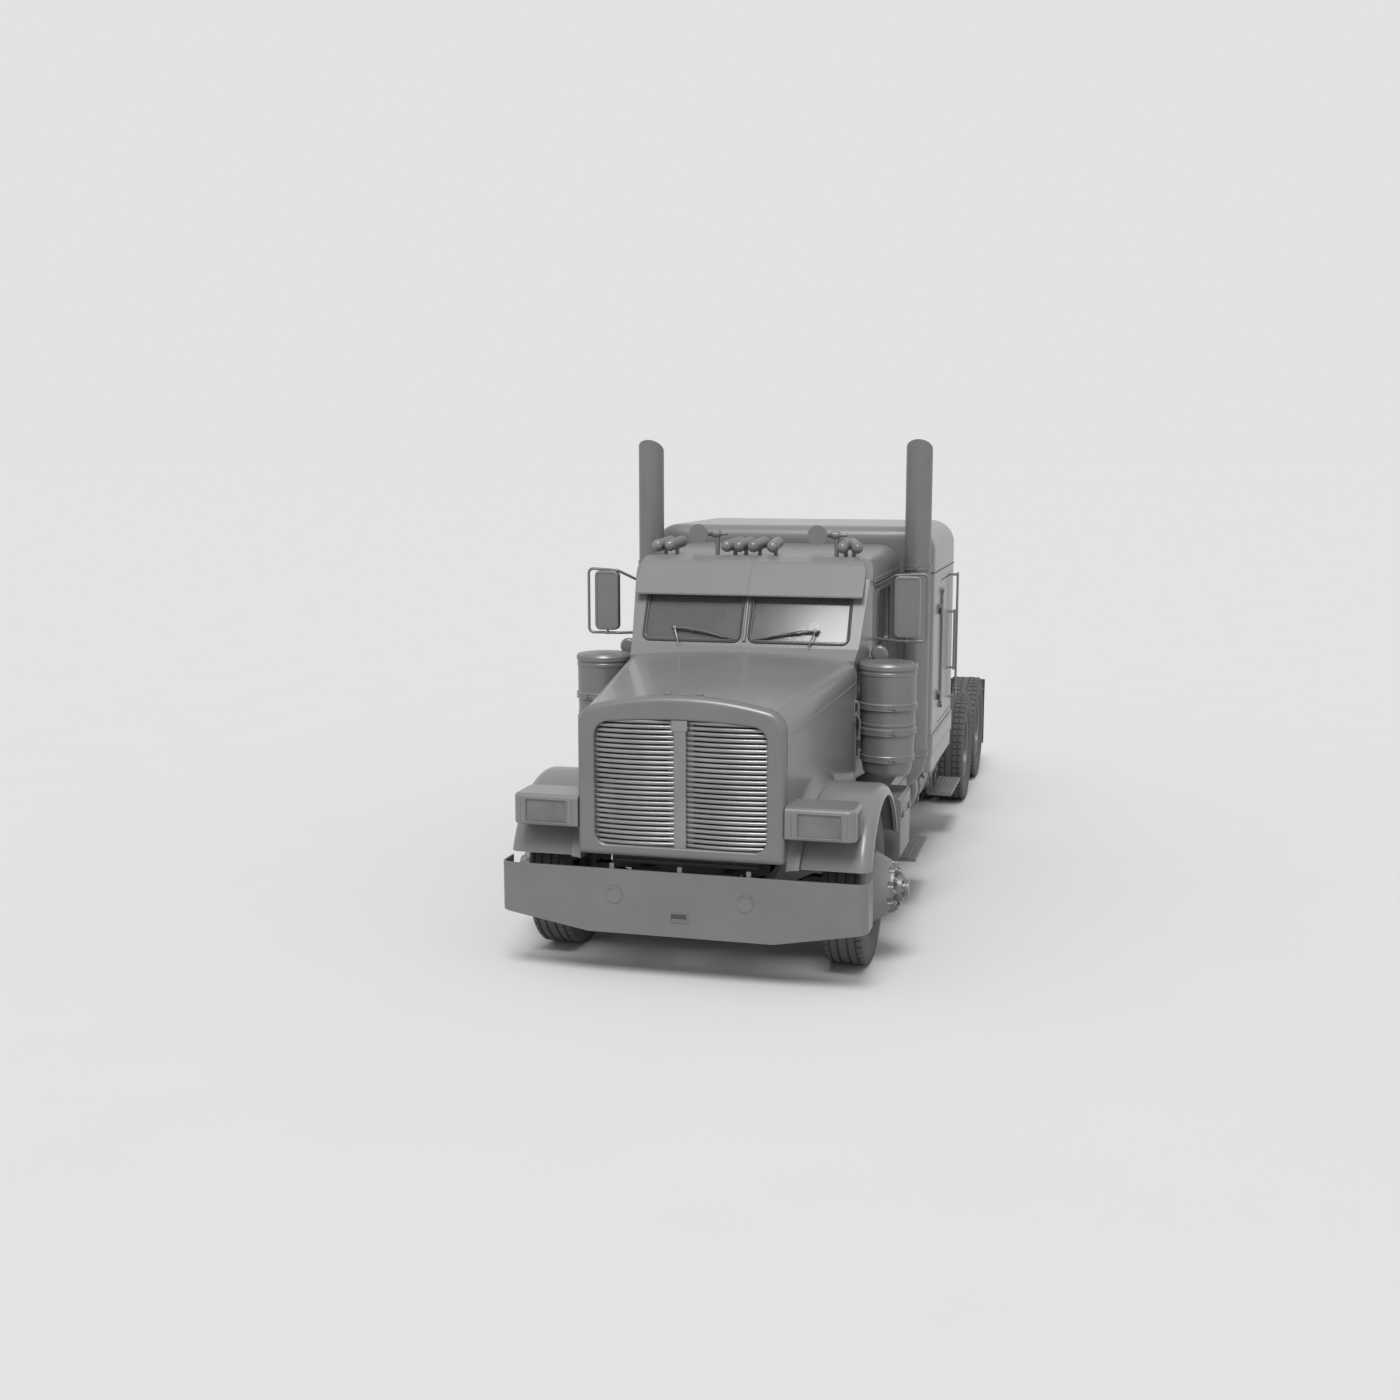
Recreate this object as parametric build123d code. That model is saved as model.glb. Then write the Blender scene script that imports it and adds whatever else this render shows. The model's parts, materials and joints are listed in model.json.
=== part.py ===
"""Long-nose semi truck tractor unit with a sleeper, twin stacks and a tandem drive bogie.

Millimetres. +Z is up, the truck faces -Y and its left side is +X. Stations along Y
are worked out from the front axle, and every piece is shifted on export so that the
origin lies on the ground under the middle of the truck's length and width.
"""

import os
from math import cos, pi, radians, sin, sqrt

from build123d import *

# Driving dimensions: running gear
tyre_radius = 545.0
tyre_width = 280.0
rim_radius = 311.0
rim_wall = 24.0
front_track_half = 1035.0
dual_spacing = 340.0
drive_outer_half = 1257.0
wheelbase = 6360.0
tandem_spread = 1270.0
fit_gap = 0.3
running_gap = 0.05

# Driving dimensions: frame
rail_half = 430.0
rail_height = 270.0
rail_flange = 90.0
rail_wall = 12.0
rail_top = 1020.0
rail_front = -540.0
frame_end = 7640.0

# Driving dimensions: bumper
bumper_front = -820.0
bumper_half = 1260.0
bumper_top = 760.0
bumper_end_bottom = 430.0
bumper_mid_bottom = 320.0
bumper_mid_half = 640.0
bumper_return = 220.0
bumper_corner = 70.0
bumper_wall = 12.0

# Driving dimensions: grille, hood and fenders
grille_front = -807.0
grille_depth = 100.0
grille_half = 707.0
grille_bottom = 848.0
grille_rise = 102.0
grille_corner = 150.0
opening_half = 587.0
opening_bottom = 925.0
opening_crown = 1780.0
opening_rise = 35.0
opening_shoulder = opening_crown - opening_rise
opening_corner = 105.0
surround_head = 157.0
grille_crown = opening_crown + surround_head
grille_shoulder = grille_crown - grille_rise
bar_pitch = 34.2
bar_count = round((opening_crown - opening_bottom) / bar_pitch)
bar_radius = 13.0
bar_bow = 30.0
divider_half = 85.0
divider_bar_half = 43.0
hood_rear = 905.0
hood_rear_half = 890.0
hood_rear_crown = 2035.0
hood_rear_shoulder = 1985.0
hood_rear_corner = 110.0
hood_side_bottom = 1075.0
hood_wall = 28.0
hood_gap = 10.0
pivot_y = -680.0
pivot_z = 900.0
pivot_radius = 14.0
arch_radius = 660.0
fender_radius = 715.0
fender_half = 1250.0
fender_bottom = 800.0
fender_edge = 70.0
fender_sheet = 26.0
fender_lip = 12.0
flare_radius = 78.0
flare_y = -40.0
lamp_outer = 1172.0
lamp_front = -800.0
lamp_rear = -460.0
lamp_bottom = 1025.0
lamp_top = 1238.0
lamp_corner = 60.0
lamp_edge = 30.0
lens_x = (789.0, 1080.0)
lens_z = (1044.0, 1206.0)
lens_recess = 18.0
lens_thickness = 10.0

# Driving dimensions: cab
cab_half = 930.0
cab_front_half = 865.0
cab_rear = 2700.0
cab_floor = 1100.0
cab_wall = 55.0
cowl_top = 2065.0
screen_base_y = 1010.0
screen_top_y = 1260.0
screen_top_z = 2570.0
roof_front_y = 1440.0
roof_front_z = 2715.0
roof_rear_z = 2760.0
roof_corner = 150.0
screen_half = 800.0
screen_post_half = 32.0
glass_thickness = 8.0
door_front = 1366.0
door_rear = 2300.0
door_bottom = 1135.0
door_top = 2530.0
door_gap = 9.0
window_front = 1530.0
window_rear = 2225.0
window_bottom = 2010.0
window_top = 2465.0
window_corner = 60.0

# Driving dimensions: sleeper
sleeper_gap = 40.0
sleeper_length = 1660.0
sleeper_half = 1222.0
sleeper_seam = 2520.0
sleeper_top = 2908.0
sleeper_floor = 1100.0
sleeper_skirt = 820.0
sleeper_wall = 50.0
sleeper_corner = 110.0
cap_side_radius = 210.0
bunk_door_start = 480.0
bunk_door_length = 980.0
bunk_door_bottom = 1180.0
bunk_door_top = 2430.0
bunk_door_corner = 70.0

# Driving dimensions: tanks, boxes, stacks and cleaners
tank_radius = 270.0
tank_x = 850.0
tank_z = 680.0
tank_front = 2650.0
tank_rear = 4450.0
box_front = 720.0
box_rear = 1250.0
box_outer = 1250.0
box_bottom = 560.0
box_top = 1010.0
riser_rear = 2200.0
riser_outer = 1100.0
step_outer = 1290.0
step_height = 430.0
step_thickness = 30.0
stack_x = 1130.0
stack_set = 300.0
stack_radius = 106.0
stack_wall = 6.0
stack_top = 3612.0
stack_elbow_radius = 230.0
stack_elbow_z = 820.0
cleaner_x = 1104.0
cleaner_y = 1022.0
cleaner_radius = 219.0
cleaner_bottom = 1142.0
cleaner_top = 1978.0

# Driving dimensions: mirrors, roof fittings, fifth wheel
mirror_x = 1344.0
mirror_y = 1360.0
mirror_tube = 11.0
mirror_arm_top = 2611.0
mirror_arm_bottom = 2103.0
mirror_head_x = 1190.0
mirror_head_half = 98.0
spot_place = (994.0, 1256.0, 2010.0)
spot_radius = 64.0
lamp_bullet_radius = 45.0
lamp_bullet_length = 165.0
horn_y = 1550.0
horn_z = 2884.0
horn_bell = 77.0
coupling_y = 6200.0
coupling_top = 1230.0
coupling_plate = 40.0
coupling_half = 460.0
kingpin_bore = 25.6

# Places that follow from the driving dimensions
axle_z = tyre_radius
tandem_ys = (wheelbase - tandem_spread / 2, wheelbase + tandem_spread / 2)
drive_outer_x = drive_outer_half - tyre_width / 2
drive_inner_x = drive_outer_x - dual_spacing
rail_bottom = rail_top - rail_height
middle_y = (bumper_front + frame_end) / 2
grille_back = grille_front + grille_depth
sleeper_front = cab_rear + sleeper_gap
stack_y = cab_rear - stack_set
sleeper_rear = sleeper_front + sleeper_length
bunk_door_front = sleeper_front + bunk_door_start
bunk_door_rear = bunk_door_front + bunk_door_length
SIDES = {"left": 1, "right": -1}


def block(x, y, z):
    """A box between three pairs of limits."""
    spans = [(min(pair), max(pair)) for pair in (x, y, z)]
    centre = [(low + high) / 2 for low, high in spans]
    return Pos(*centre) * Box(*[high - low for low, high in spans])


def rod(start, end, radius):
    """A round bar between two points."""
    start, end = Vector(*start), Vector(*end)
    span = end - start
    ends = (Align.CENTER, Align.CENTER, Align.MIN)
    return Plane(origin=start, z_dir=span) * Cylinder(radius, span.length, align=ends)


def side_prism(points, low_x, high_x):
    """A side outline, given as (y, z) points, carried from one x to another."""
    outline = Plane.YZ.offset(low_x) * make_face(Polyline(*points, close=True))
    return extrude(outline, high_x - low_x)


def spun(points, y, z):
    """A wheel-like solid: (x, radius) points turned about the line along X at y, z."""
    profile = Plane.XZ * make_face(Polyline(*points, close=True))
    return Pos(0, y, z) * revolve(profile, Axis.X)


def other_side(shape):
    """The same piece on the truck's right."""
    return mirror(shape, Plane.YZ)


def both_sides(shape):
    return [shape, other_side(shape)]


def fuse(pieces):
    pieces = list(pieces)
    return pieces[0].fuse(*pieces[1:]) if len(pieces) > 1 else pieces[0]


def export(name, *pieces):
    """Writes a node, shifted to the frame whose origin is under the truck's middle."""
    solids = [solid for piece in pieces for solid in piece.solids()]
    placed = [Pos(0, -middle_y, 0) * solid for solid in solids]
    shape = placed[0] if len(placed) == 1 else Compound(children=placed)
    export_step(shape, os.path.join("parts", name + ".step"))


# Frame

CROSSMEMBERS = (2250.0, 4600.0, 5500.0, 6900.0)   # y of each crossmember
CAB_MOUNTS = (1200.0, 2550.0)                     # y of each pair of cab mounts
SLEEPER_MOUNTS = (sleeper_front + 160.0, sleeper_rear - 150.0)   # y of each pair of sleeper mounts
crossmember_height = 110.0
crossmember_length = 120.0
mount_half = 45.0
horn_arm = (650.0, 735.0)        # bottom and top of the arms that carry the bumper
shelf_z = (770.0, 795.0)         # shelf under the radiator
shelf_half = 500.0
post_x = (512.0, 548.0)          # posts that carry the hood's pivot pins
post_y = (-540.0, -490.0)
ear_width = 30.0                 # hood ears outside the posts
light_bar_z = (900.0, 990.0)
light_bar_depth = 50.0


def frame_rail():
    web = block((rail_half - rail_wall, rail_half), (rail_front, frame_end), (rail_bottom, rail_top))
    lips = [
        block((rail_half - rail_flange, rail_half), (rail_front, frame_end), (low, low + rail_wall))
        for low in (rail_bottom, rail_top - rail_wall)
    ]
    return fuse([web, *lips])


def frame():
    inner = rail_half - rail_wall
    pieces = both_sides(frame_rail())
    for y in CROSSMEMBERS:
        pieces.append(
            block((-inner, inner), (y, y + crossmember_length),
                  (rail_top - rail_wall - crossmember_height, rail_top - rail_wall))
        )
    pads = [(y, cab_floor) for y in CAB_MOUNTS] + [(y, sleeper_floor) for y in SLEEPER_MOUNTS]
    for y, top in pads:
        middle = rail_half - rail_flange / 2
        pad = block((middle - mount_half, middle + mount_half), (y, y + 2 * mount_half), (rail_top, top))
        pieces += both_sides(pad)
    arm_outer = rail_half - rail_flange - 5
    arm_front = bumper_front + tow_cover_proud + bumper_wall
    arm = block((arm_outer - rail_flange, arm_outer), (arm_front, post_y[1]), horn_arm)
    pieces += both_sides(arm)
    pieces.append(block((-post_x[1], post_x[1]), post_y, (horn_arm[1] - 30, shelf_z[1])))
    pieces.append(block((-shelf_half, shelf_half), (post_y[0] - 110, post_y[1]), shelf_z))
    post = block(post_x, post_y, (shelf_z[0], pivot_z + 2 * pivot_radius))
    reach = block(post_x, (pivot_y, post_y[1]), (pivot_z - 20, pivot_z + 20))
    eye = rod((post_x[0], pivot_y, pivot_z), (post_x[1], pivot_y, pivot_z), 22)
    pin = rod((post_x[0], pivot_y, pivot_z), (post_x[1] + ear_width + 4, pivot_y, pivot_z), pivot_radius)
    pieces += both_sides(fuse([post, reach, eye, pin]))
    pieces.append(
        block((-drive_outer_half, drive_outer_half), (frame_end - light_bar_depth, frame_end), light_bar_z)
    )
    return fuse(pieces)


flap_z = (260.0, light_bar_z[0])
flap_thickness = 12.0


def mudflaps():
    near = (drive_inner_x - tyre_width / 2, drive_outer_half)
    middle = frame_end - light_bar_depth / 2
    return both_sides(block(near, (middle - flap_thickness / 2, middle + flap_thickness / 2), flap_z))


# Bumper

tow_cover_x = 450.0
tow_cover_z = 585.0
tow_cover_radius = 58.0
tow_cover_proud = 6.0
tab_xs = (-470.0, 0.0, 470.0)
tab_half = 15.0
tab_top = 795.0
tab_depth = 18.0
tag_half = 62.0
tag_z = (425.0, 489.0)
tag_wall = 9.0


def bumper():
    face = bumper_front + tow_cover_proud
    back = face + bumper_return
    outer = block((-bumper_half, bumper_half), (face, back), (bumper_mid_bottom, bumper_top))
    uprights = outer.edges().filter_by(Axis.Z).sort_by(Axis.Y)[:2]
    outer = fillet(uprights, bumper_corner)
    inside = bumper_half - bumper_wall
    inner = block((-inside, inside), (face + bumper_wall, back + 1),
                  (bumper_mid_bottom - 1, bumper_top + 1))
    uprights = inner.edges().filter_by(Axis.Z).sort_by(Axis.Y)[:2]
    inner = fillet(uprights, bumper_corner - bumper_wall)
    sheet = outer - inner
    wedge_points = [
        (bumper_mid_half, bumper_mid_bottom - 5),
        (bumper_half + 5, bumper_mid_bottom - 5),
        (bumper_half + 5, bumper_end_bottom),
        (bumper_mid_half, bumper_mid_bottom),
    ]
    wedge = extrude(
        Plane.XZ.offset(-face + 5) * make_face(Polyline(*wedge_points, close=True)), -(bumper_return + 10)
    )
    for piece in both_sides(wedge):
        sheet = sheet - piece
    for side in (1, -1):
        x = side * tow_cover_x
        sheet = sheet + rod((x, bumper_front, tow_cover_z), (x, face + 2, tow_cover_z), tow_cover_radius)
    for x in tab_xs:
        tab = block((x - tab_half, x + tab_half), (face + bumper_wall, face + bumper_wall + tab_depth),
                    (tab_top - 120, tab_top))
        sheet = sheet + tab
    tag = block((-tag_half, tag_half), (bumper_front, face + 2), tag_z)
    slot = block((-tag_half + tag_wall, tag_half - tag_wall), (bumper_front - 1, face + 1),
                 (tag_z[0] + tag_wall, tag_z[1] - tag_wall))
    return sheet + (tag - slot)


# Engine, gearbox and radiator

engine_half = 330.0
engine_y = (-430.0, 880.0)
engine_z = (610.0, 1560.0)
gearbox_half = 200.0
gearbox_rear = 1900.0
gearbox_z = (690.0, 1010.0)
radiator_half = 500.0
radiator_depth = 90.0
radiator_top = opening_crown


def engine():
    pan = block((-engine_half * 0.7, engine_half * 0.7), engine_y, (engine_z[0], rail_top))
    head = block((-engine_half, engine_half), engine_y, (rail_top - 200, engine_z[1]))
    gearbox = block((-gearbox_half, gearbox_half), (engine_y[1] - 10, gearbox_rear), gearbox_z)
    return fuse([pan, head, gearbox])


def radiator():
    back = post_y[0]
    return block((-radiator_half, radiator_half), (back - radiator_depth, back), (shelf_z[1], radiator_top))


# Front axle, springs, knuckles and steering

kingpin_x = 860.0
kingpin_radius = 24.0
boss_radius = 50.0
boss_half = 75.0
beam_half_width = 45.0
beam_drop = 110.0
beam_height = 100.0
spring_x = 400.0
spring_half = 42.0
spring_reach = 580.0
spring_thickness = 70.0
spring_rise = 95.0
spindle_radius = 42.0
ear_thickness = 45.0
arm_length = 190.0
beam_end = 120.0
beam_bend = 110.0


def front_axle():
    low = axle_z - beam_drop
    beam_points = [
        (-kingpin_x, axle_z - beam_height / 2), (-kingpin_x + beam_end, axle_z - beam_height / 2),
        (-spring_x - beam_bend, low - beam_height / 2), (spring_x + beam_bend, low - beam_height / 2),
        (kingpin_x - beam_end, axle_z - beam_height / 2), (kingpin_x, axle_z - beam_height / 2),
        (kingpin_x, axle_z + beam_height / 2), (kingpin_x - beam_end, axle_z + beam_height / 2),
        (spring_x + beam_bend, low + beam_height / 2), (-spring_x - beam_bend, low + beam_height / 2),
        (-kingpin_x + beam_end, axle_z + beam_height / 2), (-kingpin_x, axle_z + beam_height / 2),
    ]
    outline = Plane.XZ.offset(beam_half_width) * make_face(Polyline(*beam_points, close=True))
    beam = extrude(outline, -2 * beam_half_width)
    flute = offset(make_face(Polyline(*beam_points, close=True)), -22, kind=Kind.INTERSECTION)
    for level in (beam_half_width, -beam_half_width):
        depth = -25 if level > 0 else 25
        beam = beam - extrude(Plane.XZ.offset(level) * flute, depth)
    pieces = [beam]
    for side in (1, -1):
        x = side * kingpin_x
        pieces.append(rod((x, 0, axle_z - boss_half), (x, 0, axle_z + boss_half), boss_radius))
        reach = boss_half + ear_thickness + 4
        pieces.append(rod((x, 0, axle_z - reach), (x, 0, axle_z + reach), kingpin_radius))
        seat = axle_z - beam_drop + beam_height / 2
        pieces.append(block((side * (spring_x - spring_half), side * (spring_x + spring_half)), (-120, 120),
                            (seat - 5, seat + 30)))
    return fuse(pieces)


def front_spring():
    """A leaf pack on the axle's seat, curving up to a hanger under the rail at each end."""
    base = axle_z - beam_drop + beam_height / 2 + 30
    top = base + spring_thickness
    lower = ThreePointArc((-spring_reach, base + spring_rise), (0, base), (spring_reach, base + spring_rise))
    upper = ThreePointArc((spring_reach, top + spring_rise), (0, top), (-spring_reach, top + spring_rise))
    ends = [
        Line((spring_reach, base + spring_rise), (spring_reach, top + spring_rise)),
        Line((-spring_reach, top + spring_rise), (-spring_reach, base + spring_rise)),
    ]
    outline = make_face([lower, ends[0], upper, ends[1]])
    pack = extrude(Plane.YZ.offset(spring_x - spring_half) * outline, 2 * spring_half)
    pieces = [pack]
    for end in (1, -1):
        y = end * (spring_reach - 60)
        start = max(y - 50, post_y[1] + 5)
        pieces.append(block((spring_x - spring_half, min(spring_x + spring_half, rail_half)),
                            (start, start + 100), (base + spring_rise, rail_bottom)))
    return fuse(pieces)


def knuckle():
    """Left knuckle: two ears on the king pin, a web outside the boss, the spindle and an arm."""
    gap = 1.0
    pieces = []
    for level in (1, -1):
        near = axle_z + level * (boss_half + gap)
        far = near + level * ear_thickness
        ear = rod((kingpin_x, 0, near), (kingpin_x, 0, far), boss_radius)
        ear = ear + block((kingpin_x, kingpin_x + 95), (-boss_radius, boss_radius), (near, far))
        bore = kingpin_radius + running_gap
        pieces.append(ear - rod((kingpin_x, 0, near - level), (kingpin_x, 0, far + level), bore))
    reach = boss_half + gap + ear_thickness
    web = block((kingpin_x + boss_radius + 8, kingpin_x + 95), (-boss_radius, boss_radius),
                (axle_z - reach, axle_z + reach))
    spindle = rod((kingpin_x + 90, 0, axle_z), (spindle_end, 0, axle_z), spindle_radius)
    low = axle_z - reach
    arm = block((kingpin_x - 30, kingpin_x + 30), (boss_radius - 20, arm_length + 30), (low, low + 30))
    return fuse([*pieces, web, spindle, arm])


spindle_end = front_track_half + 150.0


# Wheels

hub_out = 1418.0
hub_flange_x = 1330.0
hub_flange_radius = 175.0
hub_radius = 95.0
scallop_count = 10
scallop_circle = 189.0
scallop_radius = 27.0


def tyre(x, y):
    """A tyre centred at x: square shoulders, bulged walls, a seat for the rim."""
    half = tyre_width / 2
    tread = half * 0.86
    bead = half * 0.74
    seat = rim_radius + fit_gap
    shoulder = tyre_radius - 34
    middle = (shoulder + seat) / 2
    edges = [
        Line((-bead, seat), (bead, seat)),
        ThreePointArc((bead, seat), (half, middle), (half * 0.96, shoulder)),
        ThreePointArc((half * 0.96, shoulder), (half * 0.945, tyre_radius - 12), (tread, tyre_radius)),
        Line((tread, tyre_radius), (-tread, tyre_radius)),
        ThreePointArc((-tread, tyre_radius), (-half * 0.945, tyre_radius - 12), (-half * 0.96, shoulder)),
        ThreePointArc((-half * 0.96, shoulder), (-half, middle), (-bead, seat)),
    ]
    profile = Plane.XZ * make_face(edges)
    return Pos(x, y, axle_z) * revolve(profile, Axis.X)


def front_wheel():
    """Left steer wheel: a rim whose disc stands outwards to a scalloped flange, hub and cap."""
    half = tyre_width / 2 * 0.74
    left, right = front_track_half - half, front_track_half + half
    barrel = rim_radius - rim_wall
    points = [
        (left, rim_radius), (right, rim_radius), (right, barrel - 18), (hub_flange_x - 20, hub_flange_radius),
        (hub_flange_x, hub_flange_radius), (hub_flange_x, hub_radius), (hub_out - 40, hub_radius),
        (hub_out - 40, hub_radius * 0.55), (hub_out, hub_radius * 0.55), (hub_out, 0),
        (spindle_end + 2, 0), (spindle_end + 2, spindle_radius + running_gap),
        (front_track_half - 10, spindle_radius + running_gap), (front_track_half - 10, hub_radius),
        (right - 30, hub_radius), (right - 30, barrel - 34), (right - 45, barrel), (left, barrel),
    ]
    wheel = spun(points, 0, axle_z)
    for k in range(scallop_count):
        turn = 2 * pi * (k + 0.5) / scallop_count
        y, z = scallop_circle * cos(turn), axle_z + scallop_circle * sin(turn)
        wheel = wheel - rod((hub_flange_x - 36, y, z), (hub_flange_x + 1, y, z), scallop_radius)
    return wheel


def drive_wheel(y):
    """Left twin wheels: two rims on discs that meet at the middle, with a deep hub outside."""
    half = tyre_width / 2 * 0.74
    barrel = rim_radius - rim_wall
    inner, outer = drive_inner_x, drive_outer_x
    middle = (inner + outer) / 2
    disc = 16.0
    bore = axle_tube_radius + running_gap
    points = [
        (inner - half, rim_radius), (inner + half, rim_radius), (inner + half, barrel),
        (middle - disc, barrel - 50), (middle + disc, barrel - 50), (outer - half, barrel),
        (outer - half, rim_radius), (outer + half, rim_radius), (outer + half, barrel),
        (outer - half + 25, barrel - 12), (middle + 2 * disc, hub_radius * 1.9),
        (middle + 2 * disc, hub_radius * 1.25), (outer + half - 45, hub_radius * 1.25),
        (outer + half - 45, hub_radius), (outer + half - 25, hub_radius), (outer + half - 25, 0),
        (axle_end + 2, 0), (axle_end + 2, bore), (inner - 40, bore), (inner - 40, drum_radius),
        (middle - disc - 12, drum_radius), (inner + half - 30, barrel - 18), (inner - half, barrel - 4),
    ]
    return spun(points, y, axle_z)


axle_tube_radius = 70.0
axle_end = drive_outer_x - 60.0
drum_radius = 205.0


# Drive axles, bogie and drive shaft

banjo_radius = 205.0
banjo_half = 130.0
pinion_reach = 330.0
shaft_radius = 55.0
beam_x = 520.0
beam_half = 40.0
bag_radius = 110.0
bag_offset = 430.0


def drive_axle(y):
    tube = rod((-axle_end, y, axle_z), (axle_end, y, axle_z), axle_tube_radius)
    bowl = rod((0, y - banjo_half, axle_z), (0, y + banjo_half, axle_z), banjo_radius)
    bowl = chamfer(bowl.edges().filter_by(GeomType.CIRCLE), banjo_half * 0.4)
    nose = rod((0, y, axle_z + 30), (0, y - pinion_reach, axle_z + 30), shaft_radius * 1.6)
    return fuse([tube, bowl, nose])


def shaft_between(start_y, start_z, end_y, end_z):
    return rod((0, start_y, start_z), (0, end_y, end_z), shaft_radius)


def driveline():
    front, rear = tandem_ys
    z = axle_z + 30
    output_z = (gearbox_z[0] + gearbox_z[1]) / 2
    flange = rod((0, gearbox_rear, output_z), (0, gearbox_rear + 70, output_z), shaft_radius * 1.5)
    main = shaft_between(gearbox_rear + 30, output_z, front - pinion_reach + 40, z)
    link = shaft_between(front + banjo_half - 60, z, rear - pinion_reach + 40, z)
    return fuse([flange, main, drive_axle(front), link, drive_axle(rear)])


def bogie_side(y):
    """Left trailing beam over one axle, its air bag under the rail and the hanger ahead of it."""
    top = axle_z + axle_tube_radius
    beam = block((beam_x - beam_half, beam_x + beam_half), (y - bag_offset - 90, y + bag_offset), (top, top + 70))
    bag = rod((rail_half - 30, y + bag_offset - 120, top + 70),
              (rail_half - 30, y + bag_offset - 120, rail_bottom), bag_radius)
    seat = block((rail_half - 30, beam_x + beam_half), (y + bag_offset - 220, y + bag_offset), (top, top + 70))
    hanger = block((rail_half, beam_x + beam_half), (y - bag_offset - 90, y - bag_offset + 10),
                   (top, rail_bottom + 90))
    return fuse([beam, seat, bag, hanger])


def rear_suspension():
    return [piece for y in tandem_ys for piece in both_sides(bogie_side(y))]


# Fifth wheel

pin_z = 1130.0
coupling_pin = 25.0
bracket_x = (300.0, 336.0)
coupling_ear = 40.0
saddle_top = 1045.0
coupling_length = 900.0
throat_half = 150.0
saddle_half = 330.0
bracket_foot = 210.0
bracket_head = 60.0
bracket_rise = 20.0
bracket_boss = 45.0


def fifth_wheel_base():
    saddle = block((-rail_half, rail_half), (coupling_y - saddle_half, coupling_y + saddle_half), (rail_top, saddle_top))
    pieces = [saddle]
    outline = [
        (coupling_y - bracket_foot, saddle_top - 5), (coupling_y + bracket_foot, saddle_top - 5),
        (coupling_y + bracket_head, pin_z + bracket_rise), (coupling_y - bracket_head, pin_z + bracket_rise),
    ]
    for side in (1, -1):
        low, high = sorted((side * bracket_x[0], side * bracket_x[1]))
        pieces.append(side_prism(outline, low, high))
        pieces.append(rod((low, coupling_y, pin_z), (high, coupling_y, pin_z), bracket_boss))
        far = side * (bracket_x[1] + coupling_ear + 6)
        pieces.append(rod((side * bracket_x[0], coupling_y, pin_z), (far, coupling_y, pin_z), coupling_pin))
    return fuse(pieces)


def fifth_wheel_plate():
    """The coupling plate: round front, throat at the back that leads to the locked jaws."""
    front = coupling_y - coupling_half
    back = coupling_y + coupling_length - coupling_half
    outline = make_face([
        ThreePointArc((-coupling_half, coupling_y), (0, front), (coupling_half, coupling_y)),
        Line((coupling_half, coupling_y), (coupling_half * 0.9, back)),
        Line((coupling_half * 0.9, back), (-coupling_half * 0.9, back)),
        Line((-coupling_half * 0.9, back), (-coupling_half, coupling_y)),
    ])
    bottom = coupling_top - coupling_plate
    plate = extrude(Plane.XY.offset(bottom) * outline, coupling_plate)
    throat_points = [
        (-throat_half, back + 1), (-kingpin_bore, coupling_y + 130), (kingpin_bore, coupling_y + 130),
        (throat_half, back + 1),
    ]
    throat = extrude(Plane.XY.offset(bottom - 1) * make_face(Polyline(*throat_points, close=True)),
                     coupling_plate + 2)
    bore = rod((0, coupling_y, bottom - 1), (0, coupling_y, coupling_top + 1), kingpin_bore)
    plate = plate - throat - bore
    pieces = [plate]
    for side in (1, -1):
        near = bracket_x[1] + 3
        low, high = sorted((side * near, side * (near + coupling_ear)))
        ear = block((low, high), (coupling_y - 60, coupling_y + 60), (pin_z, bottom + 5))
        ear = ear + rod((low, coupling_y, pin_z), (high, coupling_y, pin_z), 60)
        hole = rod((low - 1, coupling_y, pin_z), (high + 1, coupling_y, pin_z), coupling_pin + running_gap)
        pieces.append(ear - hole)
    return fuse(pieces)


# Tanks, boxes and steps

STRAP_SHARES = (0.12, 0.5, 0.88)      # where the straps lie along the tank
strap_half = 32.0
strap_proud = 6.0
rear_step_y = (3870.0, 4640.0)
front_step_y = (1320.0, 2075.0)
tank_edge = 45.0
step_width = 200.0


def fuel_tank():
    length = tank_rear - tank_front
    drum = rod((tank_x, tank_front, tank_z), (tank_x, tank_rear, tank_z), tank_radius)
    drum = fillet(drum.edges().filter_by(GeomType.CIRCLE), tank_edge)
    pieces = [drum]
    for share in STRAP_SHARES:
        y = tank_front + share * length
        pieces.append(rod((tank_x, y - strap_half, tank_z), (tank_x, y + strap_half, tank_z),
                          tank_radius + strap_proud))
        pieces.append(block((rail_half, tank_x), (y - strap_half, y + strap_half),
                            (tank_z - 60, rail_top - 40)))
    low = step_height - step_thickness
    inner = step_outer - step_width
    plate = block((inner, step_outer), rear_step_y, (low, step_height))
    for y in (rear_step_y[0] + 90, tank_rear - 150):
        pieces.append(block((inner - 30, inner + 10), (y - 30, y + 30), (low, tank_z)))
    return fuse([*pieces, plate])


def side_box():
    """Battery box behind the front wheel, with the cab's step riser and step plate behind it."""
    battery = block((rail_half, box_outer), (box_front, box_rear), (box_bottom, box_top))
    battery = chamfer(battery.edges().filter_by(Axis.Y).sort_by(Axis.X)[2:], 14)
    low = step_height - step_thickness
    riser = block((rail_half, riser_outer), (box_rear - 5, riser_rear), (low, box_top))
    plate = block((riser_outer - 5, step_outer), front_step_y, (low, step_height))
    return fuse([battery, riser, plate])


# Exhaust stacks and air cleaners

CLAMP_ZS = (1060.0, 2595.0)      # height of each clamp ring on a stack
BRACE_ZS = (1500.0, 2420.0)      # height of each brace to the sleeper's front
clamp_half = 20.0
clamp_proud = 8.0
tip_slant = 35.0
stack_bore = 500.0


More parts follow.
